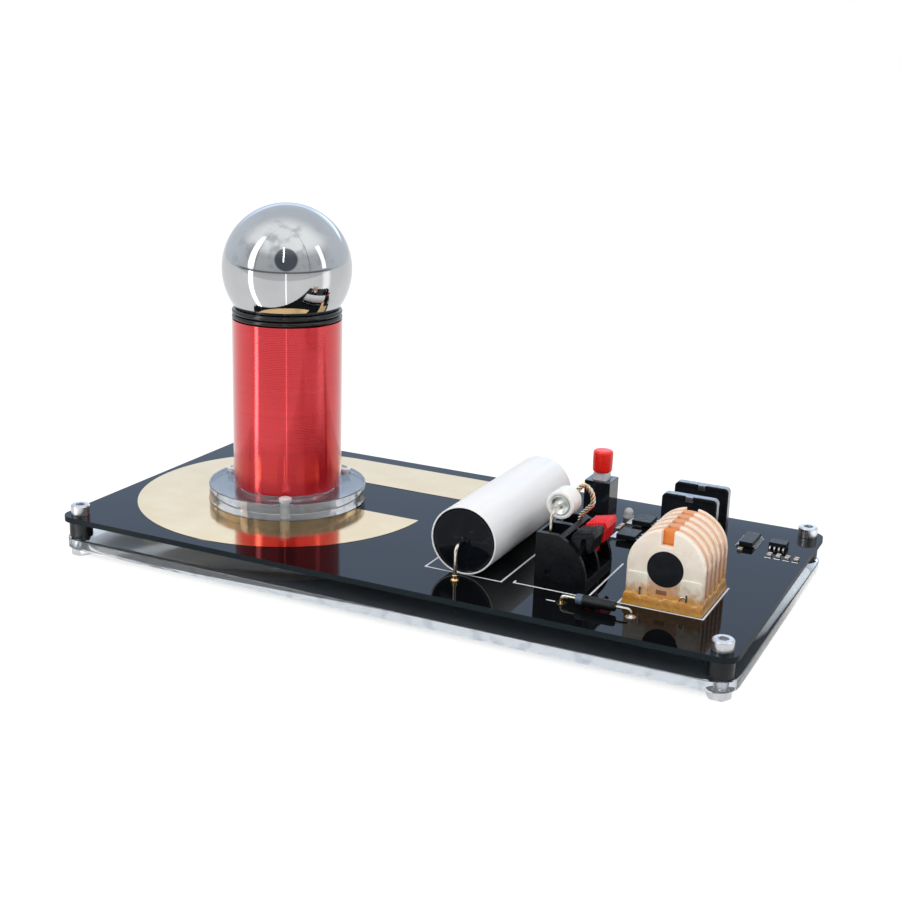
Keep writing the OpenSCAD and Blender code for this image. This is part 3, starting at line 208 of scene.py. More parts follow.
def make_finishes():
    """Every finish of the object. Those for the record's slots carry the slot's name."""
    # name: (two colours, patch in mm, roughness from and to, grain in mm, relief in mm, fixed values)
    simple = {
        # screen-printed epoxy ink: matt off-white lines
        "white_ink": (("EEF1F4", "D3D8DE"), 0.8, (0.45, 0.6), 0.15, 0.01, {}),
        # nickel-plated turned steel: bright, faintly cloudy
        "bright_steel": (("E6E7E9", "CDCFD3"), 2.0, (0.24, 0.38), 0.3, 0.004, {"metallic": 1.0}),
        # plated and tumbled steel of the foot disc's screws: pale and satin
        "satin_steel": (("F6F7F8", "E8EAED"), 1.5, (0.4, 0.52), 0.3, 0.006, {"metallic": 0.6}),
        # moulded nylon: black, satin, fine dimples
        "black_nylon": (("0E1013", "171A1E"), 2.5, (0.3, 0.44), 0.35, 0.012, {"ior": 1.4}),
        # moulded rubber ring: black with a soft shine
        "black_rubber": (("08090B", "121418"), 3.0, (0.1, 0.2), 0.6, 0.01, {}),
        # turned black plastic
        "black_plastic": (("111215", "1B1D21"), 2.5, (0.3, 0.45), 0.4, 0.01, {}),
        # metallised film roll, closed in by the sleeve
        "metallised_film": (("B9BCC4", "9DA1AA"), 2.0, (0.25, 0.4), 0.2, 0.01, {"metallic": 1.0}),
        # tinned copper wire: bright, slightly warm, drawn smooth
        "tinned_wire": (("EAE5DA", "CFC7B8"), 1.2, (0.1, 0.22), 0.25, 0.006, {"metallic": 1.0}),
        # moulded thermoplastic: black, satin, faint flow marks
        "black_housing": (("090B0F", "11151A"), 3.5, (0.22, 0.36), 0.3, 0.014, {"ior": 1.32}),
        # moulded red thermoplastic, satin
        "red_lever": (("F8222A", "EA171F"), 2.0, (0.28, 0.4), 0.3, 0.012,
                      {"subsurface_weight": 0.15, "subsurface_scale": 0.0006}),
        # glazed alumina: white, faintly warm, soft gloss
        "white_ceramic": (("F8F9F6", "EFF0ED"), 1.8, (0.14, 0.26), 0.3, 0.008,
                          {"subsurface_weight": 0.2, "subsurface_scale": 0.0008}),
        # nickel-plated cup
        "nickel_electrode": (("F1F4F1", "E2E6E3"), 1.0, (0.28, 0.42), 0.2, 0.01, {"metallic": 1.0}),
        # polished moulded housing of the switch
        "switch_black": (("171B21", "20252C"), 3.0, (0.05, 0.12), 0.4, 0.005, {"ior": 1.55}),
        # milky moulded stem
        "switch_stem": (("EFECF2", "DDD9E2"), 1.5, (0.25, 0.38), 0.3, 0.008,
                        {"subsurface_weight": 0.4, "subsurface_scale": 0.001}),
        # glossy moulded button cap
        "red_cap": (("FF2C20", "F42217"), 2.2, (0.2, 0.32), 0.35, 0.01, {}),
        # drawn spring wire
        "spring_steel": (("B9BCC0", "8F9399"), 1.0, (0.2, 0.35), 0.2, 0.005, {"metallic": 1.0}),
        # pressed and sintered ferrite: charcoal, dry and fine-grained
        "ferrite": (("15171B", "1E2126"), 2.0, (0.5, 0.65), 0.18, 0.02, {"ior": 1.2}),
        # moulded epoxy of chips and transistors, finely eroded
        "chip_black": (("101216", "1A1D22"), 1.6, (0.3, 0.44), 0.12, 0.012, {"ior": 1.4}),
        # tinned strip: bright and a little cloudy
        "tinned_metal": (("F2F3F5", "DFE2E6"), 1.4, (0.28, 0.42), 0.3, 0.006, {"metallic": 1.0}),
        # rolled steel of the chokes' clips: grey, brushed along the strip
        "clip_steel": (("B9BDC2", "989DA3"), 1.2, (0.3, 0.42), 0.2, 0.008, {"metallic": 1.0}),
        # fired ceramic body of the small parts: tan
        "chip_ceramic": (("B5813F", "8C5F2C"), 0.6, (0.3, 0.45), 0.12, 0.01, {}),
        # clear lamp lens: glassy with a grey cast
        "lamp_lens": (("F6F8F6", "E2E5E3"), 1.2, (0.04, 0.12), 0.5, 0.004,
                      {"transmission_weight": 0.5, "ior": 1.5}),
    }
    for slot, (colours, patch, rough, grain, depth, fixed) in simple.items():
        tree, shader, mm = surface(slot, **fixed)
        dress(tree, shader, patches(tree, mm, patch, *colours), wander(tree, mm, patch * 0.6, *rough),
              ripples(tree, mm, grain, depth))

    # moulded epoxy body of the rectifier: black, and grey-blue from its left end to 1.8 mm in
    tree, shader, mm = surface("rectifier_black", ior=1.4)
    band = ramp(tree, axes(tree, mm)["X"], diode_low[0] + 1.7, diode_low[0] + 1.9, 1.0, 0.0)
    dress(tree, shader, blend_colours(tree, band, patches(tree, mm, 2.0, "101216", "1A1D21"), "56657A"),
          wander(tree, mm, 1.2, 0.24, 0.38), ripples(tree, mm, 0.25, 0.012))

    # drilled acrylic: the wall of a screw hole, frosted by the drill
    tree, shader, mm = surface("frosted_acrylic", transmission_weight=0.35, ior=1.49)
    dress(tree, shader, patches(tree, mm, 1.0, "F4F6F8", "DCE1E6"), wander(tree, mm, 0.6, 0.35, 0.5),
          ripples(tree, mm, 0.3, 0.02))

    # cast acrylic, laser cut: clear polished faces, and frosted cut edges with upright striations, on which
    # darker patches are painted reflections
    tree, shader, mm = surface("clear_acrylic", ior=1.49)
    edge = cut_side(tree, 0.2, 0.7)
    # painted reflections: sharp-edged darker patches on the cut edges
    painted_reflection_patches = node(tree, "TexNoise", {"Vector": mm, "Scale": 0.22, "Detail": 4.0}).outputs["Fac"]
    cut_face = blend_colours(tree, ramp(tree, painted_reflection_patches, 0.54, 0.6), "E9F0F7", "C6D1DC")
    tree.links.new(ramp(tree, edge, 0, 1, 0.96, 0.86), shader.inputs["Transmission Weight"])
    stripes = wander(tree, stretched(tree, mm, (1.0, 1.0, 0.12)), 1.2, 0, 1, 4.0)
    cut = calc(tree, "MULTIPLY", edge, stripes)
    dress(tree, shader, blend_colours(tree, edge, "E6F0FA", cut_face), ramp(tree, cut, 0, 1, 0.008, 0.07),
          relief(tree, cut, 0.012))

    # glossy black solder mask over copper: near-black, almost a mirror at a low angle, with a faint
    # orange-peel; the sawn side of the laminate is dull slate
    tree, shader, mm = surface("board_black", ior=1.185)
    side = cut_side(tree, 0.4, 0.6)
    mask = patches(tree, mm, 14, "08090B", "0C0E11")
    fibres = stretched(tree, mm, (1.0, 1.0, 8.0))
    sawn = patches(tree, fibres, 0.8, "12191C", "202B30")
    smooth, dull = wander(tree, mm, 9, 0.015, 0.035), wander(tree, fibres, 0.8, 0.4, 0.6)
    rough = node(tree, "Mix", {0: side, 2: smooth, 3: dull}, data_type="FLOAT").outputs[0]
    dress(tree, shader, blend_colours(tree, side, mask, sawn), rough, ripples(tree, mm, 3.5, 0.0012, 1.0))

    # immersion gold over copper: pale gold mirror, slightly clouded, soft ripples
    tree, shader, mm = surface("plated_copper", metallic=1.0)
    dress(tree, shader, patches(tree, mm, 11, "F9D49E", "F3CA91"), wander(tree, mm, 6, 0.08, 0.15),
          ripples(tree, mm, 2.4, 0.002))

    # enamelled copper wire in one close layer: each round turn mirrors the studio in red, so the
    # lamps draw upright lines; bands of turns differ a little, as hand-fed winding does
    tree, shader, mm = surface("red_enamelled_wire", metallic=0.5, coat_weight=1.0,
                               coat_roughness=0.04, coat_ior=1.5)
    bands = stretched(tree, mm, (0.02, 0.02, 1.0))
    dress(tree, shader, patches(tree, bands, 1.3, "E0212C", "D61B27", 4.0),
          wander(tree, bands, 2.0, 0.05, 0.09), ripples(tree, bands, 0.6, 0.004))

    # polished steel: a mirror with faint spinning marks round the upright axis and light handling haze
    tree, shader, mm = surface("polished_steel", metallic=1.0)
    level = stretched(tree, mm, (0.05, 0.05, 1.0))
    dress(tree, shader, patches(tree, mm, 8, "CDCFD1", "C2C4C6"), wander(tree, mm, 6, 0.02, 0.07),
          ripples(tree, level, 0.5, 0.0006, 2.0))

    # white polyester tape wound round the capacitor: satin, with faint wraps along it
    tree, shader, mm = surface("white_film", subsurface_weight=0.1, subsurface_scale=0.0008)
    wraps = stretched(tree, mm, (1.0, 0.08, 1.0))
    dress(tree, shader, patches(tree, wraps, 3, "F6F6F8", "EEEFF2"), wander(tree, mm, 5, 0.3, 0.42),
          ripples(tree, wraps, 1.5, 0.02, 1.0))

    # poured black resin: wet gloss with slow waves
    tree, shader, mm = surface("black_resin", ior=1.22)
    dress(tree, shader, patches(tree, mm, 3, "0A0D12", "12161C"), wander(tree, mm, 2, 0.03, 0.08),
          ripples(tree, mm, 3.5, 0.03, 2.0))

    # moulded nylon bobbin: warm cream that lets light through, stained by the resin to a ragged line near
    # its foot, browner behind the front plate below a second ragged line higher up, and pinkish where the
    # thin wall under the core shows the winding behind it
    tree, shader, mm = surface("cream_bobbin", subsurface_weight=0.2, subsurface_scale=0.001)
    place = axes(tree, mm)
    cream = patches(tree, mm, 5, "F7EEE2", "F0E0CE")
    beside = ramp(tree, away(tree, place["X"], ROD[0]), 3.4, 4.3, 0.8, 0.0)
    under = ramp(tree, place["Z"], ROD[2] - 4.0, ROD[2] + 1.0, 1.0, 0.0)
    cream = blend_colours(tree, calc(tree, "MULTIPLY", beside, under), cream, "D9AC8C")
    # the thin walls between the slots take the colour of the winding on both their sides
    walls = ramp(tree, place["Y"], SLOT_START - 0.3, SLOT_START + 0.3)
    cream = blend_colours(tree, ramp(tree, walls, 0, 1, 0.0, 0.4), cream, "F0C6A2")
    # browner behind the front plate below a ragged line 9 to 15 mm over the board
    ragged = calc(tree, "ADD", place["Z"], wander(tree, mm, 3, -3, 3))
    lower = ramp(tree, ragged, TOP + 9, TOP + 15, 0.6, 0.0)
    cream = blend_colours(tree, calc(tree, "MULTIPLY", lower, walls), cream, "B98560")
    ragged = calc(tree, "ADD", place["Z"], wander(tree, mm, 1.6, -1.6, 1.6))
    below_ragged_line = ramp(tree, ragged, TOP + 3.2, TOP + 6.5, 0.9, 0.0)
    dress(tree, shader, blend_colours(tree, below_ragged_line, cream, "DDA458"), wander(tree, mm, 3, 0.2, 0.34),
          ripples(tree, mm, 0.8, 0.02))

    # fine enamelled copper that fills the bobbin's slots: pale orange, deeper under the notches and strong
    # in the first, dark orange at a slot's two sides as painted shade where the winding meets the walls,
    # and brown below a ragged line 10 to 14 mm over the board
    tree, shader, mm = surface("copper_winding", metallic=0.1, coat_weight=0.3, coat_roughness=0.15)
    place = axes(tree, mm)
    orange = patches(tree, mm, 1.8, "F2C7A2", "E8B68C")
    along = calc(tree, "FLOORED_MODULO", calc(tree, "SUBTRACT", place["Y"], SLOT_START), SLOT_PITCH)
    # painted shade: dark orange along both sides of each slot
    edge = ramp(tree, away(tree, along, SLOT_W / 2), SLOT_W / 2 - 0.55, SLOT_W / 2 - 0.2)
    orange = blend_colours(tree, edge, orange, "C4622E")
    notch = ramp(tree, away(tree, place["X"], ROD[0]), 1.6, 2.0, 1.0, 0.0)
    first = ramp(tree, place["Y"], SLOT_START + SLOT_W, SLOT_START + SLOT_W + 0.4, 1.0, 0.0)
    orange = blend_colours(tree, notch, orange, blend_colours(tree, first, "E3A076", "E4822F"))
    # brown below a ragged line 10 to 14 mm over the board
    ragged = calc(tree, "ADD", place["Z"], wander(tree, mm, 2.5, -1.5, 1.5))
    below_ragged_line = ramp(tree, ragged, TOP + 10, TOP + 14, 1.0, 0.0)
    dress(tree, shader, blend_colours(tree, below_ragged_line, orange, "9C674A"), wander(tree, mm, 2, 0.3, 0.45),
          ripples(tree, mm, 0.25, 0.02))

    # amber casting resin: honey-coloured, half clear, with cloudy depth and a wet skin
    tree, shader, mm = surface("amber_resin", transmission_weight=0.35, ior=1.52,
                               subsurface_weight=0.3, subsurface_scale=0.0015,
                               coat_weight=0.6, coat_roughness=0.05)
    dress(tree, shader, patches(tree, mm, 2.2, "F0B248", "D8912E", 4.0), wander(tree, mm, 1.5, 0.1, 0.3),
          ripples(tree, mm, 1.8, 0.12, 2.0))


# ---- shapes ----

def eased(outline, radius, closed=False, steps=6):
    """Rounds the corners of an outline: each corner gives way to the curve
    (1-t)^2 a + 2t(1-t) corner + t^2 b, where a and b are up to radius away on its two sides."""
    p = np.asarray(outline, float)
    run = np.vstack([p[-1:], p, p[:1]]) if closed else p
    corner = run[1:-1]
    back, ahead = run[:-2] - corner, run[2:] - corner
    back_l = np.linalg.norm(back, axis=1, keepdims=True)
    ahead_l = np.linalg.norm(ahead, axis=1, keepdims=True)
    a = corner + back / back_l * np.minimum(radius, 0.45 * back_l)
    b = corner + ahead / ahead_l * np.minimum(radius, 0.45 * ahead_l)
    t = np.linspace(0, 1, steps)[None, :, None]
    curve = (1 - t) ** 2 * a[:, None] + 2 * t * (1 - t) * corner[:, None] + t ** 2 * b[:, None]
    curve = curve.reshape(-1, p.shape[1])
    return curve if closed else np.vstack([p[:1], curve, p[-1:]])


def turned(profile, at, along="z", sides=96):
    """A profile of (radius, distance) turned round an axis through a point: radius times cosine
    and sine of the angle across the axis, distance along it."""
    r, d = np.asarray(profile, float).T
    a = np.linspace(0, 2 * np.pi, sides, endpoint=False)
    across, up, on = np.outer(r, np.cos(a)), np.outer(r, np.sin(a)), np.outer(d, np.ones(sides))
    order = {"z": (across, up, on), "y": (across, on, up), "x": (on, across, up)}[along]
    return np.stack(order, -1) + np.asarray(at, float)


def wire(path, radius, reference, sides=20):
    """A round wire along a path: path + radius (n cos a + b sin a), with n across the path's
    direction and a reference direction, and b across both."""
    p = np.asarray(path, float)
    t = np.gradient(p, axis=0)
    t /= np.linalg.norm(t, axis=1, keepdims=True)
    n = np.cross(t, np.asarray(reference, float))
    n /= np.linalg.norm(n, axis=1, keepdims=True)
    b = np.cross(t, n)
    a = np.linspace(0, 2 * np.pi, sides, endpoint=False)[None, :, None]
    r = np.broadcast_to(np.asarray(radius, float), len(p))[:, None, None]
    return p[:, None] + r * (n[:, None] * np.cos(a) + b[:, None] * np.sin(a))


def slab(outline, low, high, edge, plane="xy"):
    """A closed outline carried from low to high, its rims rounded: at angle a of the rim the
    outline is drawn in by edge (1 - sin a) and stands edge (1 - cos a) from the end."""
    p = np.asarray(outline, float)
    side = np.roll(p, -1, 0) - p
    out = np.stack([side[:, 1], -side[:, 0]], -1) / np.linalg.norm(side, axis=1, keepdims=True)
    mitre = out + np.roll(out, 1, 0)
    mitre /= np.maximum((mitre * mitre).sum(1, keepdims=True) / 2, 0.2)
    a = np.linspace(0, np.pi / 2, 4)
    draw = np.concatenate([edge * (1 - np.sin(a)), edge * (1 - np.sin(a[::-1]))])
    level = np.concatenate([low + edge * (1 - np.cos(a)), high - edge * (1 - np.cos(a[::-1]))])
    flat = p[None] - mitre[None] * draw[:, None, None]
    level = np.broadcast_to(level[:, None], flat.shape[:2])
    u, v = flat[..., 0], flat[..., 1]
    return np.stack({"xy": (u, v, level), "xz": (u, level, v), "yz": (level, u, v)}[plane], -1)


def through(points, steps=8):
    """A smooth curve through points: between b and c it is the cubic
    (2b + (c-a)t + (2a-5b+4c-d)t^2 + (3b-a-3c+d)t^3) / 2."""
    p = np.asarray(points, float)
    run = np.vstack([2 * p[:1] - p[1:2], p, 2 * p[-1:] - p[-2:-1]])
    a, b, c, d = (run[i:len(run) - 3 + i, None] for i in range(4))
    t = np.linspace(0, 1, steps, endpoint=False)[None, :, None]
    curve = (2 * b + (c - a) * t + (2 * a - 5 * b + 4 * c - d) * t ** 2
             + (3 * b - a - 3 * c + d) * t ** 3) / 2
    return np.vstack([curve.reshape(-1, p.shape[1]), p[-1:]])


def box_outline(x0, y0, x1, y1, corner):
    """A rectangle with rounded corners, anticlockwise."""
    return eased([(x0, y0), (x1, y0), (x1, y1), (x0, y1)], corner, closed=True)


# ---- pieces ----

def finish_piece(thing, nodes, slot, corner):
    """Sets smooth shading up to a corner angle, the finish and the body."""
    mesh = thing.data
    mesh.polygons.foreach_set("use_smooth", np.ones(len(mesh.polygons), bool))
    mesh.set_sharp_from_angle(angle=math.radians(corner))
    mesh.materials.clear()
    mesh.materials.append(finishes[slot])
    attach(thing, frame["nodes"][nodes[0]]["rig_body"])
    return thing


def piece(name, grids, nodes, slot=None, corner=35, replaces=True, finish=None):
    """One mesh from grids of points, rows by columns by 3 in millimetres. Columns close on
    themselves, and open first and last rows are filled flat."""
    points, faces, start = [], [], 0
    for grid in grids:
        rows, cols = grid.shape[:2]
        i, j = np.meshgrid(np.arange(rows - 1), np.arange(cols), indexing="ij")
        k = (j + 1) % cols
        quads = np.stack([i * cols + j, i * cols + k, (i + 1) * cols + k, (i + 1) * cols + j], -1)
        faces += (quads.reshape(-1, 4) + start).tolist()
        if not np.allclose(grid[0], grid[-1]):
            for row in (0, rows - 1):
                if np.ptp(grid[row], axis=0).max() > 1e-6:
                    faces.append((np.arange(cols) + row * cols + start).tolist())
        points.append(grid.reshape(-1, 3))
        start += rows * cols
    mesh = bpy.data.meshes.new(name)
    mesh.from_pydata((np.vstack(points) * MM).tolist(), [], faces)
    shape = bmesh.new()
    shape.from_mesh(mesh)
    bmesh.ops.remove_doubles(shape, verts=shape.verts, dist=1e-7)
    bmesh.ops.recalc_face_normals(shape, faces=shape.faces)
    shape.to_mesh(mesh)
    shape.free()
    thing = bpy.data.objects.new(name, mesh)
    bpy.context.scene.collection.objects.link(thing)
    finish_piece(thing, nodes, slot or slot_of[nodes[0]], corner)
    if finish:
        thing.data.materials[0] = finishes[finish]
    if replaces:
        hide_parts(*nodes)
        dressed.update(nodes)
    return thing


def softened(cad_node, edge, corner=35, finish=None):
    """A copy of a CAD node, merged to whole faces, its edges rounded by a bevel in millimetres."""
    source = frame["nodes"][cad_node]
    mesh = source.data.copy()
    shape = bmesh.new()
    shape.from_mesh(mesh)
    bmesh.ops.remove_doubles(shape, verts=shape.verts, dist=2e-6)
    bmesh.ops.dissolve_limit(shape, angle_limit=math.radians(0.4), verts=shape.verts,
                             edges=shape.edges)
    shape.to_mesh(mesh)
    shape.free()
    if "custom_normal" in mesh.attributes:
        mesh.attributes.remove(mesh.attributes["custom_normal"])
    thing = bpy.data.objects.new(cad_node + "_eased", mesh)
    bpy.context.scene.collection.objects.link(thing)
    bevel = thing.modifiers.new("edges", "BEVEL")
    bevel.width = edge * MM
    bevel.segments = 2
    bevel.limit_method = "ANGLE"
    bevel.angle_limit = math.radians(corner)
    bevel.harden_normals = True
    finish_piece(thing, [cad_node], slot_of[cad_node], corner)
    if finish:
        mesh.materials[0] = finishes[finish]
    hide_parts(cad_node)
    dressed.add(cad_node)
    return thing


def repaint(cad_node, finish):
    """Gives a CAD node that shows as it is its finish."""
    materials = frame["nodes"][cad_node].data.materials
    materials.clear()
    materials.append(finishes[finish])
    dressed.add(cad_node)


def solder_cone(x, y, wire_radius, pad_radius, height):
    """Solder that climbs a wire: the radius falls from the pad's to the wire's with the cube of
    the height left."""
    t = np.linspace(0, 1, 10)
    return turned(np.stack([wire_radius + (pad_radius - wire_radius) * (1 - t) ** 3, t * height], -1),
                  (x, y, TOP + 0.1), sides=32)


def build_plates():
    """The clear base plate with rounded rims, and fasteners and spacers with softened edges."""
    low, high = span("base_plate")
    corner, rim = 6.8, 0.25
    outline = box_outline(low[0], low[1], high[0], high[1], corner)
    piece("clear_base_plate", [slab(outline, low[2], high[2], rim)], ["base_plate"])
    for name, edge in (("corner_screws", 0.15), ("corner_spacers", 0.3), ("corner_nuts", 0.12)):
        softened(name, edge)


def flange_bolts():
    """The middles of the foot disc's screws, read from the upper vertices of their CAD node."""
    points = np.array([v.co for v in frame["nodes"]["flange_screws"].data.vertices]) / MM
    points = points[points[:, 2] > points[:, 2].max() - 0.3][:, :2]
    angle = np.arctan2(points[:, 1] - COIL[1], points[:, 0] - COIL[0])
    order = np.argsort(angle)
    points, angle = points[order], angle[order]
    gaps = np.diff(np.concatenate([angle, angle[:1] + 2 * np.pi]))
    cuts = np.sort(np.argsort(gaps)[-3:]) + 1
    groups = [points[cuts[0]:cuts[1]], points[cuts[1]:cuts[2]],
              np.vstack([points[cuts[2]:], points[:cuts[0]]])]
    return [(group.min(0) + group.max(0)) / 2 for group in groups]


def build_coil():
    """Foot disc, fine winding, its leads, collar rings and ball."""
    repaint("flange_screws", "satin_steel")
    x, y = COIL[:2]
    low, high = span("coil_flange")
    outer = (high[0] - low[0]) / 2
    # the disc clears the former by 0.1 mm and the board by 0.08 mm
    bore = (tube_high[0] - tube_low[0]) / 2 + 0.1
    under = low[2] + 0.08
    ring = eased([(bore, under), (outer, under), (outer, high[2]), (bore, high[2])], 0.3, closed=True)
    piece("clear_foot_disc", [turned(np.vstack([ring, ring[:1]]), (x, y, 0), sides=160)],
          ["coil_flange"])

    hole, shank, bottom, top = 1.32, 1.2, under + 0.1, high[2] - 0.1
    wall = [(hole, bottom), (hole, top), (shank, top), (shank, bottom), (hole, bottom)]
    walls = [turned(wall, (bx, by, 0), sides=40) for bx, by in flange_bolts()]
    piece("flange_holes", walls, ["coil_flange"], replaces=False, finish="frosted_acrylic")

    # the wire's real turns are about 0.2 mm apart; they are drawn 0.5 mm apart to show in the render
    pitch, groove, radius, bore, sides, rows = 0.5, 0.025, 16.25, 14.7, 96, 8
    bottom, top = TOP + 5.1, TOP + 55.4
    z = np.linspace(bottom, top, int((top - bottom) / pitch * rows))
    a = np.linspace(0, 2 * np.pi, sides, endpoint=False)
    wave = (1 - np.cos(2 * np.pi * z[:, None] / pitch - a)) / 2
    wall = radius - groove * wave
    skin = np.stack([x + wall * np.cos(a), y + wall * np.sin(a), np.outer(z, np.ones(sides))], -1)
    rim = np.stack([x + bore * np.cos(a), y + bore * np.sin(a), np.ones(sides)], -1)
    lower, upper = rim * (1, 1, bottom), rim * (1, 1, top)
    piece("fine_winding", [np.concatenate([upper[None], lower[None], skin, upper[None]])],
          ["winding_core", "secondary_winding"], corner=50)

    softened("winding_leads", 0.05)
    low, high = span("collar_rings")
    a = np.linspace(0, 2 * np.pi, 24)
    middle, thick = 15.5, 0.75
    rings = [turned(np.stack([middle + thick * np.cos(a), thick * np.sin(a)], -1), (x, y, z), sides=128)
             for z in (low[2] + thick, high[2] - thick)]
    piece("collar_pair", rings, ["collar_rings"])

    ball = (ball_low + ball_high) / 2
    radius = (ball_high[0] - ball_low[0]) / 2
    centre_z = ball_high[2] - radius
    opening = 4.1
    a = np.linspace(-math.acos(opening / radius), np.pi / 2, 96)
    piece("polished_ball", [turned(np.stack([radius * np.cos(a), radius * np.sin(a)], -1),
                                   (ball[0], ball[1], centre_z), sides=192)], ["ball_shell"])


def build_capacitor():
    """Sleeve, poured ends with a mound at each lead, bent leads and their solder."""
    x, z = CAP[0], CAP[2]
    front, back = sleeve_low[1], sleeve_high[1]
    outer = (sleeve_high[0] - sleeve_low[0]) / 2
    tape, inside = 0.45, 3
    inner = outer - tape
    profile = eased([(inner, front + inside), (inner, front), (outer, front), (outer, back),
                     (inner, back), (inner, back - inside)], 0.2)
    piece("capacitor_tape", [turned(np.vstack([profile, profile[:1]]), (x, 0, z), "y", 160)],
          ["capacitor_sleeve"])

    r = np.concatenate([np.linspace(inner, inner - 1.2, 10), np.linspace(inner - 1.4, 0.45, 30)])
    a = np.linspace(0, 2 * np.pi, 120, endpoint=False)
    seals = []
    for end, way in ((front + 0.5, -1), (back - 0.5, 1)):
        climb = 0.3 * np.exp(-(inner - r) / 0.35)[:, None]
        arms = 1 + 0.2 * np.cos(3 * a + 0.6)[None] + 0.12 * np.cos(5 * a)[None]
        mound = (0.32 * np.exp(-(r[:, None] / (4.6 * arms)) ** 2)
                 + 0.25 * np.exp(-((r[:, None] - 0.45) / 0.5) ** 2))
        face = end + way * (climb + mound)
        face_grid = np.stack([x + np.outer(r, np.cos(a)), face, z + np.outer(r, np.sin(a))], -1)
        wall = face_grid[0].copy()
        wall[:, 1] = end - way * 2
        seals.append(np.concatenate([wall[None], face_grid]))
    piece("capacitor_faces", seals, ["capacitor_seals"], corner=60)

    leads, sleeves = [], []
    reach, bend, thick = 4.4, 2.6, 0.5
    for face, way in ((front, -1), (back, 1)):
        foot_y = face + way * reach
        path = eased([(x, face - way * 2, z), (x, foot_y, z), (x, foot_y, LEAD_END)], bend, steps=14)
        leads.append(wire(path, thick, (1, 0, 0), 24))
        barrel = eased([(thick, 0.1), (1.15, 0.1), (0.8, 0.45), (0.78, 1.5), (thick, 1.6)], 0.2)
        sleeves.append(turned(np.vstack([barrel, barrel[:1]]), (x, foot_y, TOP), sides=40))
    piece("capacitor_wires", leads, ["capacitor_leads"])
    piece("lead_barrels", sleeves, ["capacitor_leads"], slot="plated_copper", replaces=False)


def build_terminal():
    """Housing, pin and clips with softened edges, and levers with finely ribbed pads."""
    for name, edge in (("terminal_housing", 0.22), ("lever_pin", 0.1), ("terminal_clips", 0.08)):
        softened(name, edge)
    left = span("terminal_housing")[0][0]

    def outline(points):
        return np.array(points, float) + (left, TOP)

    # the pad's upper side is seven ribs: height 0.5 min(1, 1.6 sin^2(7 pi s)) over a sloping line
    share = np.linspace(1, 0, 113)
    ribs, tall = 7, 0.5
    rise = tall * np.minimum(1, 1.6 * np.sin(ribs * np.pi * share) ** 2)
    ribbed = np.stack([9.5 + 5.8 * share, 13.05 + 1.3 * share + rise], -1)
    pad = outline(np.vstack([[(9, 12), (15.7, 13.2)], ribbed]))
    arm = outline([(8.2, 4.7), (11.2, 4.7), (12.2, 13.2), (9.1, 12.3)])
    lip = outline([(13.3, 13.0), (13.35, 10.3), (14.05, 8.75), (14.8, 9.2), (15.5, 13.4)])
    turn = np.linspace(0, 2 * np.pi, 40, endpoint=False)
    radius = 1.65
    hub = outline(np.stack([9.7 + radius * np.cos(turn), 4.7 + radius * np.sin(turn)], -1))
    for name in ("front_lever", "rear_lever"):
        low, high = span(name)
        parts = [slab(form, low[1] + inset, high[1] - inset, edge, "xz") for form, inset, edge in
                 ((pad, 0, 0.06), (arm, 0.05, 0.2), (lip, 0.02, 0.25), (hub, 0.03, 0.15))]
        piece(name + "_ribbed", parts, [name], corner=40)


def build_gas_tube():
    """Ceramic tube, electrode cups and leads."""
    x, z = GAS[0], GAS[2]
    front, back = tube_end_low[1], tube_end_high[1]
    outer = (tube_end_high[0] - tube_end_low[0]) / 2
    wall = 1.1
    inner = outer - wall
    loop = eased([(inner, front), (outer, front), (outer, back), (inner, back)], 0.45, closed=True)
    piece("ceramic_tube", [turned(np.vstack([loop, loop[:1]]), (x, 0, z), "y", 96)],
          ["gas_tube_ceramic"])
    cup = inner - 0.05
    dish = eased([(0, 0.05), (cup * 0.2, 0.12), (cup * 0.34, 0.5), (cup * 0.6, 0.42),
                  (cup * 0.8, 0.02), (cup * 0.86, -0.1), (cup * 0.94, -0.1), (cup * 0.95, 0.4),
                  (cup, 0.45), (cup, 1.4), (0, 1.4)], 0.12)
    cups = [turned(dish * (1, way) + (0, end), (x, 0, z), "y", 96)
            for end, way in ((front, 1), (back, -1))]
    piece("electrode_cups", cups, ["gas_tube_electrodes"])

    low, high = span("gas_tube_leads")
    thick = 0.45
    front_y, rear_y = low[1] + thick, high[1] - thick
    d, l, lip = 2 * outer, back - front, TOP + 13
    first = eased([(x, front + 0.3, z), (x - 0.1, front_y, z - 0.3), (x - 0.2, front_y, TOP + 6)], 2.4,
                  steps=14)
    route = through([(x, back - 0.3, z), (x, back, z), (x + 0.1 * d, back + 0.35 * l, z + 0.1 * d),
                     (x + 0.35 * d, rear_y - 0.1 * l, z + 0.42 * d), (x + 0.62 * d, rear_y, z + 0.2 * d),
                     (x + 0.7 * d, rear_y, z - 0.2 * d), (x + 0.5 * d, rear_y, lip + 0.25 * d),
                     (x + 0.25 * d, rear_y, lip - 0.1 * d), (x + 0.2 * d, rear_y, TOP + 6)], 24)
    wires = [wire(first, thick, (1, 0, 0))]
    # the rear lead is three strands that turn round the route
    count, strand, apart, twist, slant = 3, 0.3, 0.44, 3, (-0.5, 0.6, 0.6)
    t = np.gradient(route, axis=0)
    t /= np.linalg.norm(t, axis=1, keepdims=True)
    n = np.cross(t, slant)
    n /= np.linalg.norm(n, axis=1, keepdims=True)
    b = np.cross(t, n)
    gone = np.concatenate([[0], np.cumsum(np.linalg.norm(np.diff(route, axis=0), axis=1))])
    strands = []
    for k in range(count):
        turn = (2 * np.pi * (gone / twist + k / count))[:, None]
        strands.append(wire(route + apart * (n * np.cos(turn) + b * np.sin(turn)), strand, slant, 12))
    piece("gas_tube_wires", wires + strands[:2], ["gas_tube_leads"])
    piece("copper_strand", strands[2:], ["gas_tube_leads"], slot="plated_copper", replaces=False)


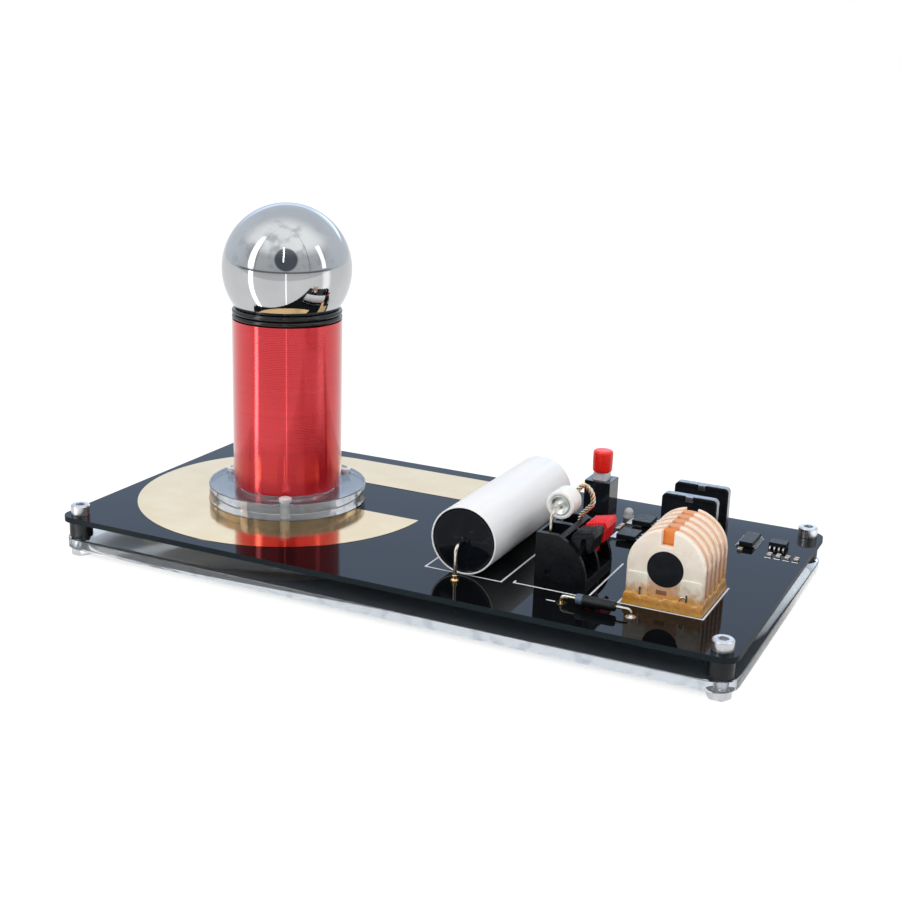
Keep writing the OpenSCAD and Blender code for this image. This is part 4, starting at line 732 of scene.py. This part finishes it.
def build_switch():
    """Housing and stem with softened edges, and the rounded red cap."""
    softened("switch_housing", 0.2)
    softened("switch_plunger", 0.15)
    low, high = span("switch_cap")
    mid = (low + high) / 2
    radius, tall = (high[0] - low[0]) / 2, high[2] - low[2]
    outline = eased([(0, 0), (radius - 0.1, 0), (radius, tall * 0.5), (radius, tall), (0, tall + 0.001)],
                    0.9, steps=10)
    piece("red_button_cap", [turned(outline, (mid[0], mid[1], low[2]), sides=96)], ["switch_cap"])
    # the return spring, softened, with a mesh of its own
    spring = softened("switch_spring", 0.02)
    low, high = span("switch_spring")
    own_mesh(spring)


def build_step_up():
    """Bobbin plates and foot blocks, wound slots, rod core, resin foot and wire ends."""
    x, z = ROD[0], ROD[2]
    half = (arch_high[0] - arch_low[0]) / 2
    front, back = arch_low[1], arch_high[1]
    foot = TOP + 1.5
    notch_half, notch_floor = 1.6, z + half - 4.2
    lean = math.asin(notch_half / half)
    right = np.linspace(0, np.pi / 2 - lean, 28)
    left = np.linspace(np.pi / 2 + lean, np.pi, 28)
    arch = np.vstack([[(x + half, foot)],
                      np.stack([x + half * np.cos(right), z + half * np.sin(right)], -1),
                      [(x + notch_half, notch_floor), (x - notch_half, notch_floor)],
                      np.stack([x + half * np.cos(left), z + half * np.sin(left)], -1),
                      [(x - half, foot)]])
    plates = [slab(arch, front, front + FRONT_T, 0.3, "xz"),
              slab(arch, back - BACK_T, back - 0.15, 0.3, "xz")]
    starts = SLOT_START + np.arange(1, SLOTS) * SLOT_PITCH - RIB
    plates += [slab(arch, y, y + RIB, 0.25, "xz") for y in starts]
    for side in (-1, 1):
        x0, x1 = sorted((x + side * 4.2, x + side * 9.7))
        block = box_outline(x0, foot, x1, foot + 7.2, 0.5)
        plates.append(slab(block, front - 0.35, front + 0.3, 0.15, "xz"))
    piece("bobbin_plates", plates, ["hv_bobbin"], corner=40)

    wound = []
    radius, depth, turn = 9.85, 0.04, 0.25
    for y in SLOT_START + np.arange(SLOTS) * SLOT_PITCH:
        d = np.linspace(0.05, SLOT_W - 0.05, 40)
        edge = np.minimum(d, SLOT_W - d)
        crest = radius - depth * (1 - np.cos(2 * np.pi * d / turn)) - 0.5 * np.exp(-edge / 0.18)
        wound.append(turned(np.vstack([[(6, y + d[0])], np.stack([crest, y + d], -1),
                                       [(6, y + d[-1])]]), (x, 0, z), "y", 96))
    piece("slot_windings", wound, ["hv_windings"], corner=60)

    radius = 4.75
    core = eased([(0, rod_low[1]), (radius, rod_low[1]), (radius, rod_high[1]), (0, rod_high[1])], 0.25)
    piece("rod_core", [turned(core, (x, 0, z), "y", 128)], ["hv_core"])

    # the resin spreads to the white outline at its foot and climbs the bobbin unevenly
    low, high = span("hv_resin")
    steps = np.linspace(0, 1, 60, endpoint=False)
    corners = np.array([(low[0], low[1]), (high[0], low[1]), (high[0], high[1]), (low[0], high[1])])
    outline = np.concatenate([a + np.outer(steps, b - a) for a, b in zip(corners, np.roll(corners, -1, 0))])
    centre = (low[:2] + high[:2]) / 2
    round_it = np.linspace(0, 2 * np.pi, len(outline), endpoint=False)
    uneven = np.sin(7 * round_it + 0.5) + 0.7 * np.sin(17 * round_it) + 0.5 * np.sin(29 * round_it + 2)
    half_sizes, wave = np.array([10.1, 11.4]), 0.22
    levels = []
    for share, out in ((0, 0.0), (0, 0.5), (0.08, 0.48), (0.2, 0.34), (0.5, 0.2), (0.85, 0.08),
                       (1.0, -0.25), (0.98, -2.5)):
        flat = centre + (outline - centre) * (1 + out / half_sizes)
        lift = (high[2] - low[2]) * share + wave * uneven * share ** 2
        levels.append(np.column_stack([flat, low[2] + lift]))
    piece("resin_foot", [np.array(levels)], ["hv_resin"], corner=60)

    # the slot under the core shows the first turns of the inner winding
    slit = box_outline(x - 2.0, TOP + 3.6, x + 0.8, TOP + 4.8, 0.15)
    piece("winding_slit", [slab(slit, front - 0.06, front + 0.3, 0.03, "xz")], ["hv_windings"],
          replaces=False)

    # wire ends on the front ledge: a short stub on the left, a small open loop on the right
    ledge = low[1] + 0.45
    a = np.linspace(-0.4 * np.pi, 1.3 * np.pi, 24)
    loop = np.stack([x + 5.3 + 0.8 * np.cos(a), np.full(24, ledge - 0.1), TOP + 3.4 + 0.9 * np.sin(a)],
                    -1)
    stub = through([(x - 6.1, ledge, TOP + 2.6), (x - 6.1, ledge, TOP + 4),
                    (x - 5.7, ledge - 0.1, TOP + 4.9)])
    piece("winding_ends", [wire(loop, 0.22, (0, 1, 0), 12), wire(stub, 0.28, (0, 1, 0), 12)],
          ["hv_pins"], replaces=False)


def build_rectifier():
    """Body with rounded ends and faint shoulder bands, leads and solder."""
    y, z = DIODE[1], DIODE[2]
    x0, x1 = diode_low[0], diode_high[0]
    r = (diode_high[2] - diode_low[2]) / 2
    end, shoulder = r * 0.92, 1.2
    body = eased([(0, x0), (end, x0), (r, x0 + shoulder), (r, x1 - shoulder), (end, x1), (0, x1)], 0.3)
    piece("rectifier_tube", [turned(body, (0, y, z), "x", 72)], ["rectifier_body"])
    leads, solder = [], []
    reach, bend, thick = 4, 1.1, 0.4
    for face, way in ((x0, -1), (x1, 1)):
        foot_x = face + way * reach
        path = eased([(face - way, y, z), (foot_x, y, z), (foot_x, y, LEAD_END)], bend, steps=12)
        leads.append(wire(path, thick, (0, 1, 0), 20))
        if way > 0:
            solder.append(solder_cone(foot_x, y, thick, 1.15, 0.8))
    piece("rectifier_wires", leads, ["rectifier_leads"])
    piece("rectifier_solder", solder, ["rectifier_leads"], slot="tinned_metal", replaces=False)


def build_board_parts():
    """Chokes, transistors, chips, small parts, lamp and power socket."""
    for name, edge in (("choke_cores", 0.12), ("transistor_bodies", 0.15),
                       ("transistor_metal", 0.06), ("chip_bodies", 0.12), ("chip_pins", 0.04),
                       ("small_part_bodies", 0.08), ("small_part_ends", 0.08),
                       ("power_socket_shell", 0.08), ("power_socket_core", 0.06)):
        softened(name, edge)
    softened("choke_clips", 0.1, finish="clip_steel")
    low, high = span("indicator_lamp")
    mid = (low + high) / 2
    r, tall = (high[0] - low[0]) / 2, high[2] - low[2]
    a = np.linspace(0, np.pi / 2, 16)
    round_r = r - 0.2
    dome = np.stack([round_r * np.cos(a), tall - round_r + round_r * np.sin(a)], -1)
    lens = np.vstack([[(0, 0), (r, 0), (r, 0.5), (round_r, 0.6)], dome])
    piece("lamp_dome", [turned(lens, (mid[0], mid[1], TOP), sides=48)], ["indicator_lamp"])


# ---- stage ----

# Level directions toward the photo's camera and to its right
NEAR, RIGHT = (0.43, -0.903, 0.0), (0.903, 0.43, 0.0)


def part_along(tree, vector, direction):
    """How much of a vector lies along a direction."""
    return node(tree, "VectorMath", {0: vector, 1: direction}, operation="DOT_PRODUCT").outputs["Value"]


def make_floor():
    """Seamless paper: white, and shown white to the camera, mirrors and glass with a faint shadow."""
    half, brightness, shown, paper_end = 6, 1.14, 0.82, 0.34
    mesh = bpy.data.meshes.new("floor")
    corners = [(-half, -half, 0), (half, -half, 0), (half, half, 0), (-half, half, 0)]
    mesh.from_pydata(corners, [], [(0, 1, 2, 3)])
    floor = bpy.data.objects.new("floor", mesh)
    bpy.context.scene.collection.objects.link(floor)
    material = bpy.data.materials.new("white_paper")
    material.use_nodes = True
    tree = material.node_tree
    tree.nodes.clear()
    rays = node(tree, "LightPath").outputs
    where = node(tree, "TexCoord").outputs["Object"]
    seen = calc(tree, "MAXIMUM", rays["Is Camera Ray"], rays["Is Glossy Ray"])
    seen = calc(tree, "MAXIMUM", seen, rays["Is Transmission Ray"])
    # under the object the paper shows its true shade: the share falls inside the plate's outline
    low, high = span("base_plate")
    place = axes(tree, where)
    beyond = [calc(tree, "SUBTRACT", calc(tree, "ABSOLUTE", place[axis]), float(high[k] - low[k]) / 2 * MM)
              for axis, k in (("X", 0), ("Y", 1))]
    clear = ramp(tree, calc(tree, "MAXIMUM", *beyond), -0.012, -0.001, 0.09, 1.0, smooth=True)
    share = calc(tree, "MULTIPLY", calc(tree, "MULTIPLY", seen, shown), clear)
    paper = node(tree, "BsdfDiffuse", {"Color": linear("F4F4F4")})
    # mirrors see the paper end in front of the object, and glowing streaks painted on it as reflections of
    # the lamps: bearing from the coil in degrees, half width at full and at no strength in radians,
    # strength
    mirrored = ramp(tree, part_along(tree, where, NEAR), paper_end, paper_end + 0.005, 0.9, 0.62)
    from_coil = node(tree, "VectorMath", {0: where, 1: (COIL[0] * MM, COIL[1] * MM, 0)},
                     operation="SUBTRACT")
    compass = axes(tree, from_coil.outputs["Vector"])
    bearing = calc(tree, "ARCTAN2", compass["X"], compass["Y"])
    for degrees, full, none, light in ((-146.5, 0.03, 0.1, 4.2), (150, 0.006, 0.022, 1.8),
                                       (76, 0.05, 0.2, 0.7)):
        painted_lamp_streak = ramp(tree, away(tree, bearing, math.radians(degrees)), full, none, light, 0.0, smooth=True)
        mirrored = calc(tree, "ADD", mirrored, painted_lamp_streak)
    strength = node(tree, "Mix", {0: rays["Is Glossy Ray"], 2: brightness, 3: mirrored},
                    data_type="FLOAT").outputs[0]
    glow = node(tree, "Emission", {"Color": (1, 1, 1, 1), "Strength": strength})
    mixed = node(tree, "MixShader", {0: share, 1: paper.outputs[0], 2: glow.outputs[0]})
    node(tree, "OutputMaterial", {"Surface": mixed.outputs[0]})
    mesh.materials.append(material)


def make_world():
    """White to the camera and glass, a soft even light to the object, and to mirrors a light tent:
    neutral and softly folded towards the camera, bluer behind the object at 10 to 25 degrees up,
    with three dark seams, a dark opening for the lens and a tall lamp at the left."""
    world = bpy.context.scene.world or bpy.data.worlds.new("studio")
    bpy.context.scene.world = world
    world.use_nodes = True
    tree = world.node_tree
    tree.nodes.clear()
    rays = node(tree, "LightPath").outputs
    way = node(tree, "TexCoord").outputs["Generated"]
    near, right, up = (part_along(tree, way, axis) for axis in (NEAR, RIGHT, (0.0, 0.0, 1.0)))
    around = calc(tree, "ARCTAN2", right, near)

    def soft(value, low, high, start=0.0, end=1.0):
        return ramp(tree, value, low, high, start, end, smooth=True)

    def times(first, second):
        return calc(tree, "MULTIPLY", first, second)

    room = blend_colours(tree, soft(near, 0.7, -0.5), (0.56, 0.57, 0.58, 1), (0.72, 0.76, 0.82, 1))
    roof = times(soft(up, 0.4, 0.7), soft(near, -0.45, 0.1))
    room = blend_colours(tree, roof, room, (1.2, 1.21, 1.2, 1))
    folds = node(tree, "TexNoise", {"Vector": way, "Scale": 2.4, "Detail": 3.0}).outputs["Fac"]
    folds = times(soft(folds, 0.5, 0.68, 0.0, 0.55), soft(near, -0.5, 0.0))
    room = blend_colours(tree, folds, room, (0.34, 0.38, 0.43, 1))
    behind = times(soft(near, -0.78, -0.88), times(soft(up, 0.17, 0.24), soft(up, 0.4, 0.44, 1.0, 0.0)))
    backdrop = blend_colours(tree, soft(up, 0.31, 0.4), (0.84, 1.07, 1.45, 1), (1.02, 1.3, 1.74, 1))
    far_right = times(soft(right, 0.02, 0.2), soft(up, 0.33, 0.28))
    backdrop = blend_colours(tree, far_right, backdrop, (1.6, 2.2, 2.8, 1))
    room = blend_colours(tree, behind, room, backdrop)
    shade = times(soft(up, 0.025, 0.05, 0.75, 0.0), soft(near, -0.2, 0.3))
    lens = soft(part_along(tree, way, (0.461, -0.793, 0.399)), 0.93, 0.95, 0.0, 0.85)
    seams = [soft(away(tree, around, seam), 0.006, 0.016, 0.6, 0.0) for seam in (-0.9, 0.82)]
    for dark in (lens, *seams):
        shade = calc(tree, "MAXIMUM", shade, dark)
    room = blend_colours(tree, shade, room, (0.03, 0.04, 0.06, 1))
    tall = times(soft(away(tree, around, -1.055), 0.03, 0.13, 1.0, 0.0),
                 times(soft(up, 0.0, 0.2), soft(up, 0.6, 0.85, 1.0, 0.0)))
    room = blend_colours(tree, tall, room, (7.0, 7.0, 7.0, 1))
    mirrored = node(tree, "Background", {"Color": room, "Strength": 1.0})
    plain = node(tree, "Background", {"Color": (1, 1, 1, 1), "Strength": 0.66})
    white = node(tree, "Background", {"Color": (1, 1, 1, 1), "Strength": 1.0})
    first = node(tree, "MixShader", {0: rays["Is Glossy Ray"], 1: plain.outputs[0], 2: mirrored.outputs[0]})
    clear = calc(tree, "MAXIMUM", rays["Is Camera Ray"], rays["Is Transmission Ray"])
    second = node(tree, "MixShader", {0: clear, 1: first.outputs[0], 2: white.outputs[0]})
    node(tree, "OutputWorld", {"Surface": second.outputs[0]})


def placed(name, data, side, up, back, at):
    """An object that looks against its back axis, from a place."""
    thing = bpy.data.objects.new(name, data)
    thing.matrix_world = Matrix(np.vstack([np.column_stack([side, up, back, at]), (0, 0, 0, 1)]).tolist())
    bpy.context.scene.collection.objects.link(thing)
    return thing


def softbox(name, azimuth, elevation, distance, width, height, strength, aim):
    """An area lamp at an angle round the object, to the camera's side of it, facing a point.
    Its power is its brightness times pi times its area."""
    az, el = math.radians(azimuth), math.radians(elevation)
    back = np.array([math.sin(az) * math.cos(el), -math.cos(az) * math.cos(el), math.sin(el)])
    side = np.array([math.cos(az), math.sin(az), 0.0])
    lamp = bpy.data.lights.new(name, "AREA")
    lamp.shape = "RECTANGLE"
    lamp.size, lamp.size_y = width, height
    lamp.energy = strength * math.pi * width * height
    return placed(name, lamp, side, np.cross(back, side), back, np.array(aim) + distance * back)


def make_lamps():
    """The overhead lamp lights; the others are only mirrored, as long bright lines."""
    coil_front = (-0.053, 0, 0.06)
    softbox("overhead", 20, 66, 1.0, 1.3, 1.3, 1.3, (0, 0, 0.03)).visible_glossy = False
    softbox("front_strip", 25.4, 33, 0.9, 0.02, 0.4, 8.0, coil_front).visible_diffuse = False
    softbox("right_panel", 100, 22, 1.0, 0.14, 0.6, 1.4, coil_front).visible_diffuse = False


def make_camera():
    """The photo's camera, solved from it: its turn to the left, down and clockwise, and its place."""
    data = bpy.data.cameras.new("camera")
    data.sensor_width = 36
    data.lens = 56.71
    data.clip_start = 0.01
    yaw, pitch, roll = np.radians([25.452, 16.44, 1.769])
    ahead = np.array([-math.sin(yaw) * math.cos(pitch), math.cos(yaw) * math.cos(pitch), -math.sin(pitch)])
    level = np.array([math.cos(yaw), math.sin(yaw), 0])
    upright = np.cross(level, ahead)
    side = math.cos(roll) * level + math.sin(roll) * upright
    up = -math.sin(roll) * level + math.cos(roll) * upright
    bpy.context.scene.camera = placed("camera", data, side, up, -ahead, (0.16858, -0.35180, 0.14991))
    bpy.context.scene.view_settings.view_transform = "Standard"


make_floor()
make_world()
make_lamps()
make_camera()
make_finishes()
build_plates()
build_coil()
build_capacitor()
build_terminal()
build_gas_tube()
build_switch()
build_step_up()
build_rectifier()
build_board_parts()
for name in frame["nodes"]:
    if name not in dressed:
        repaint(name, slot_of[name])
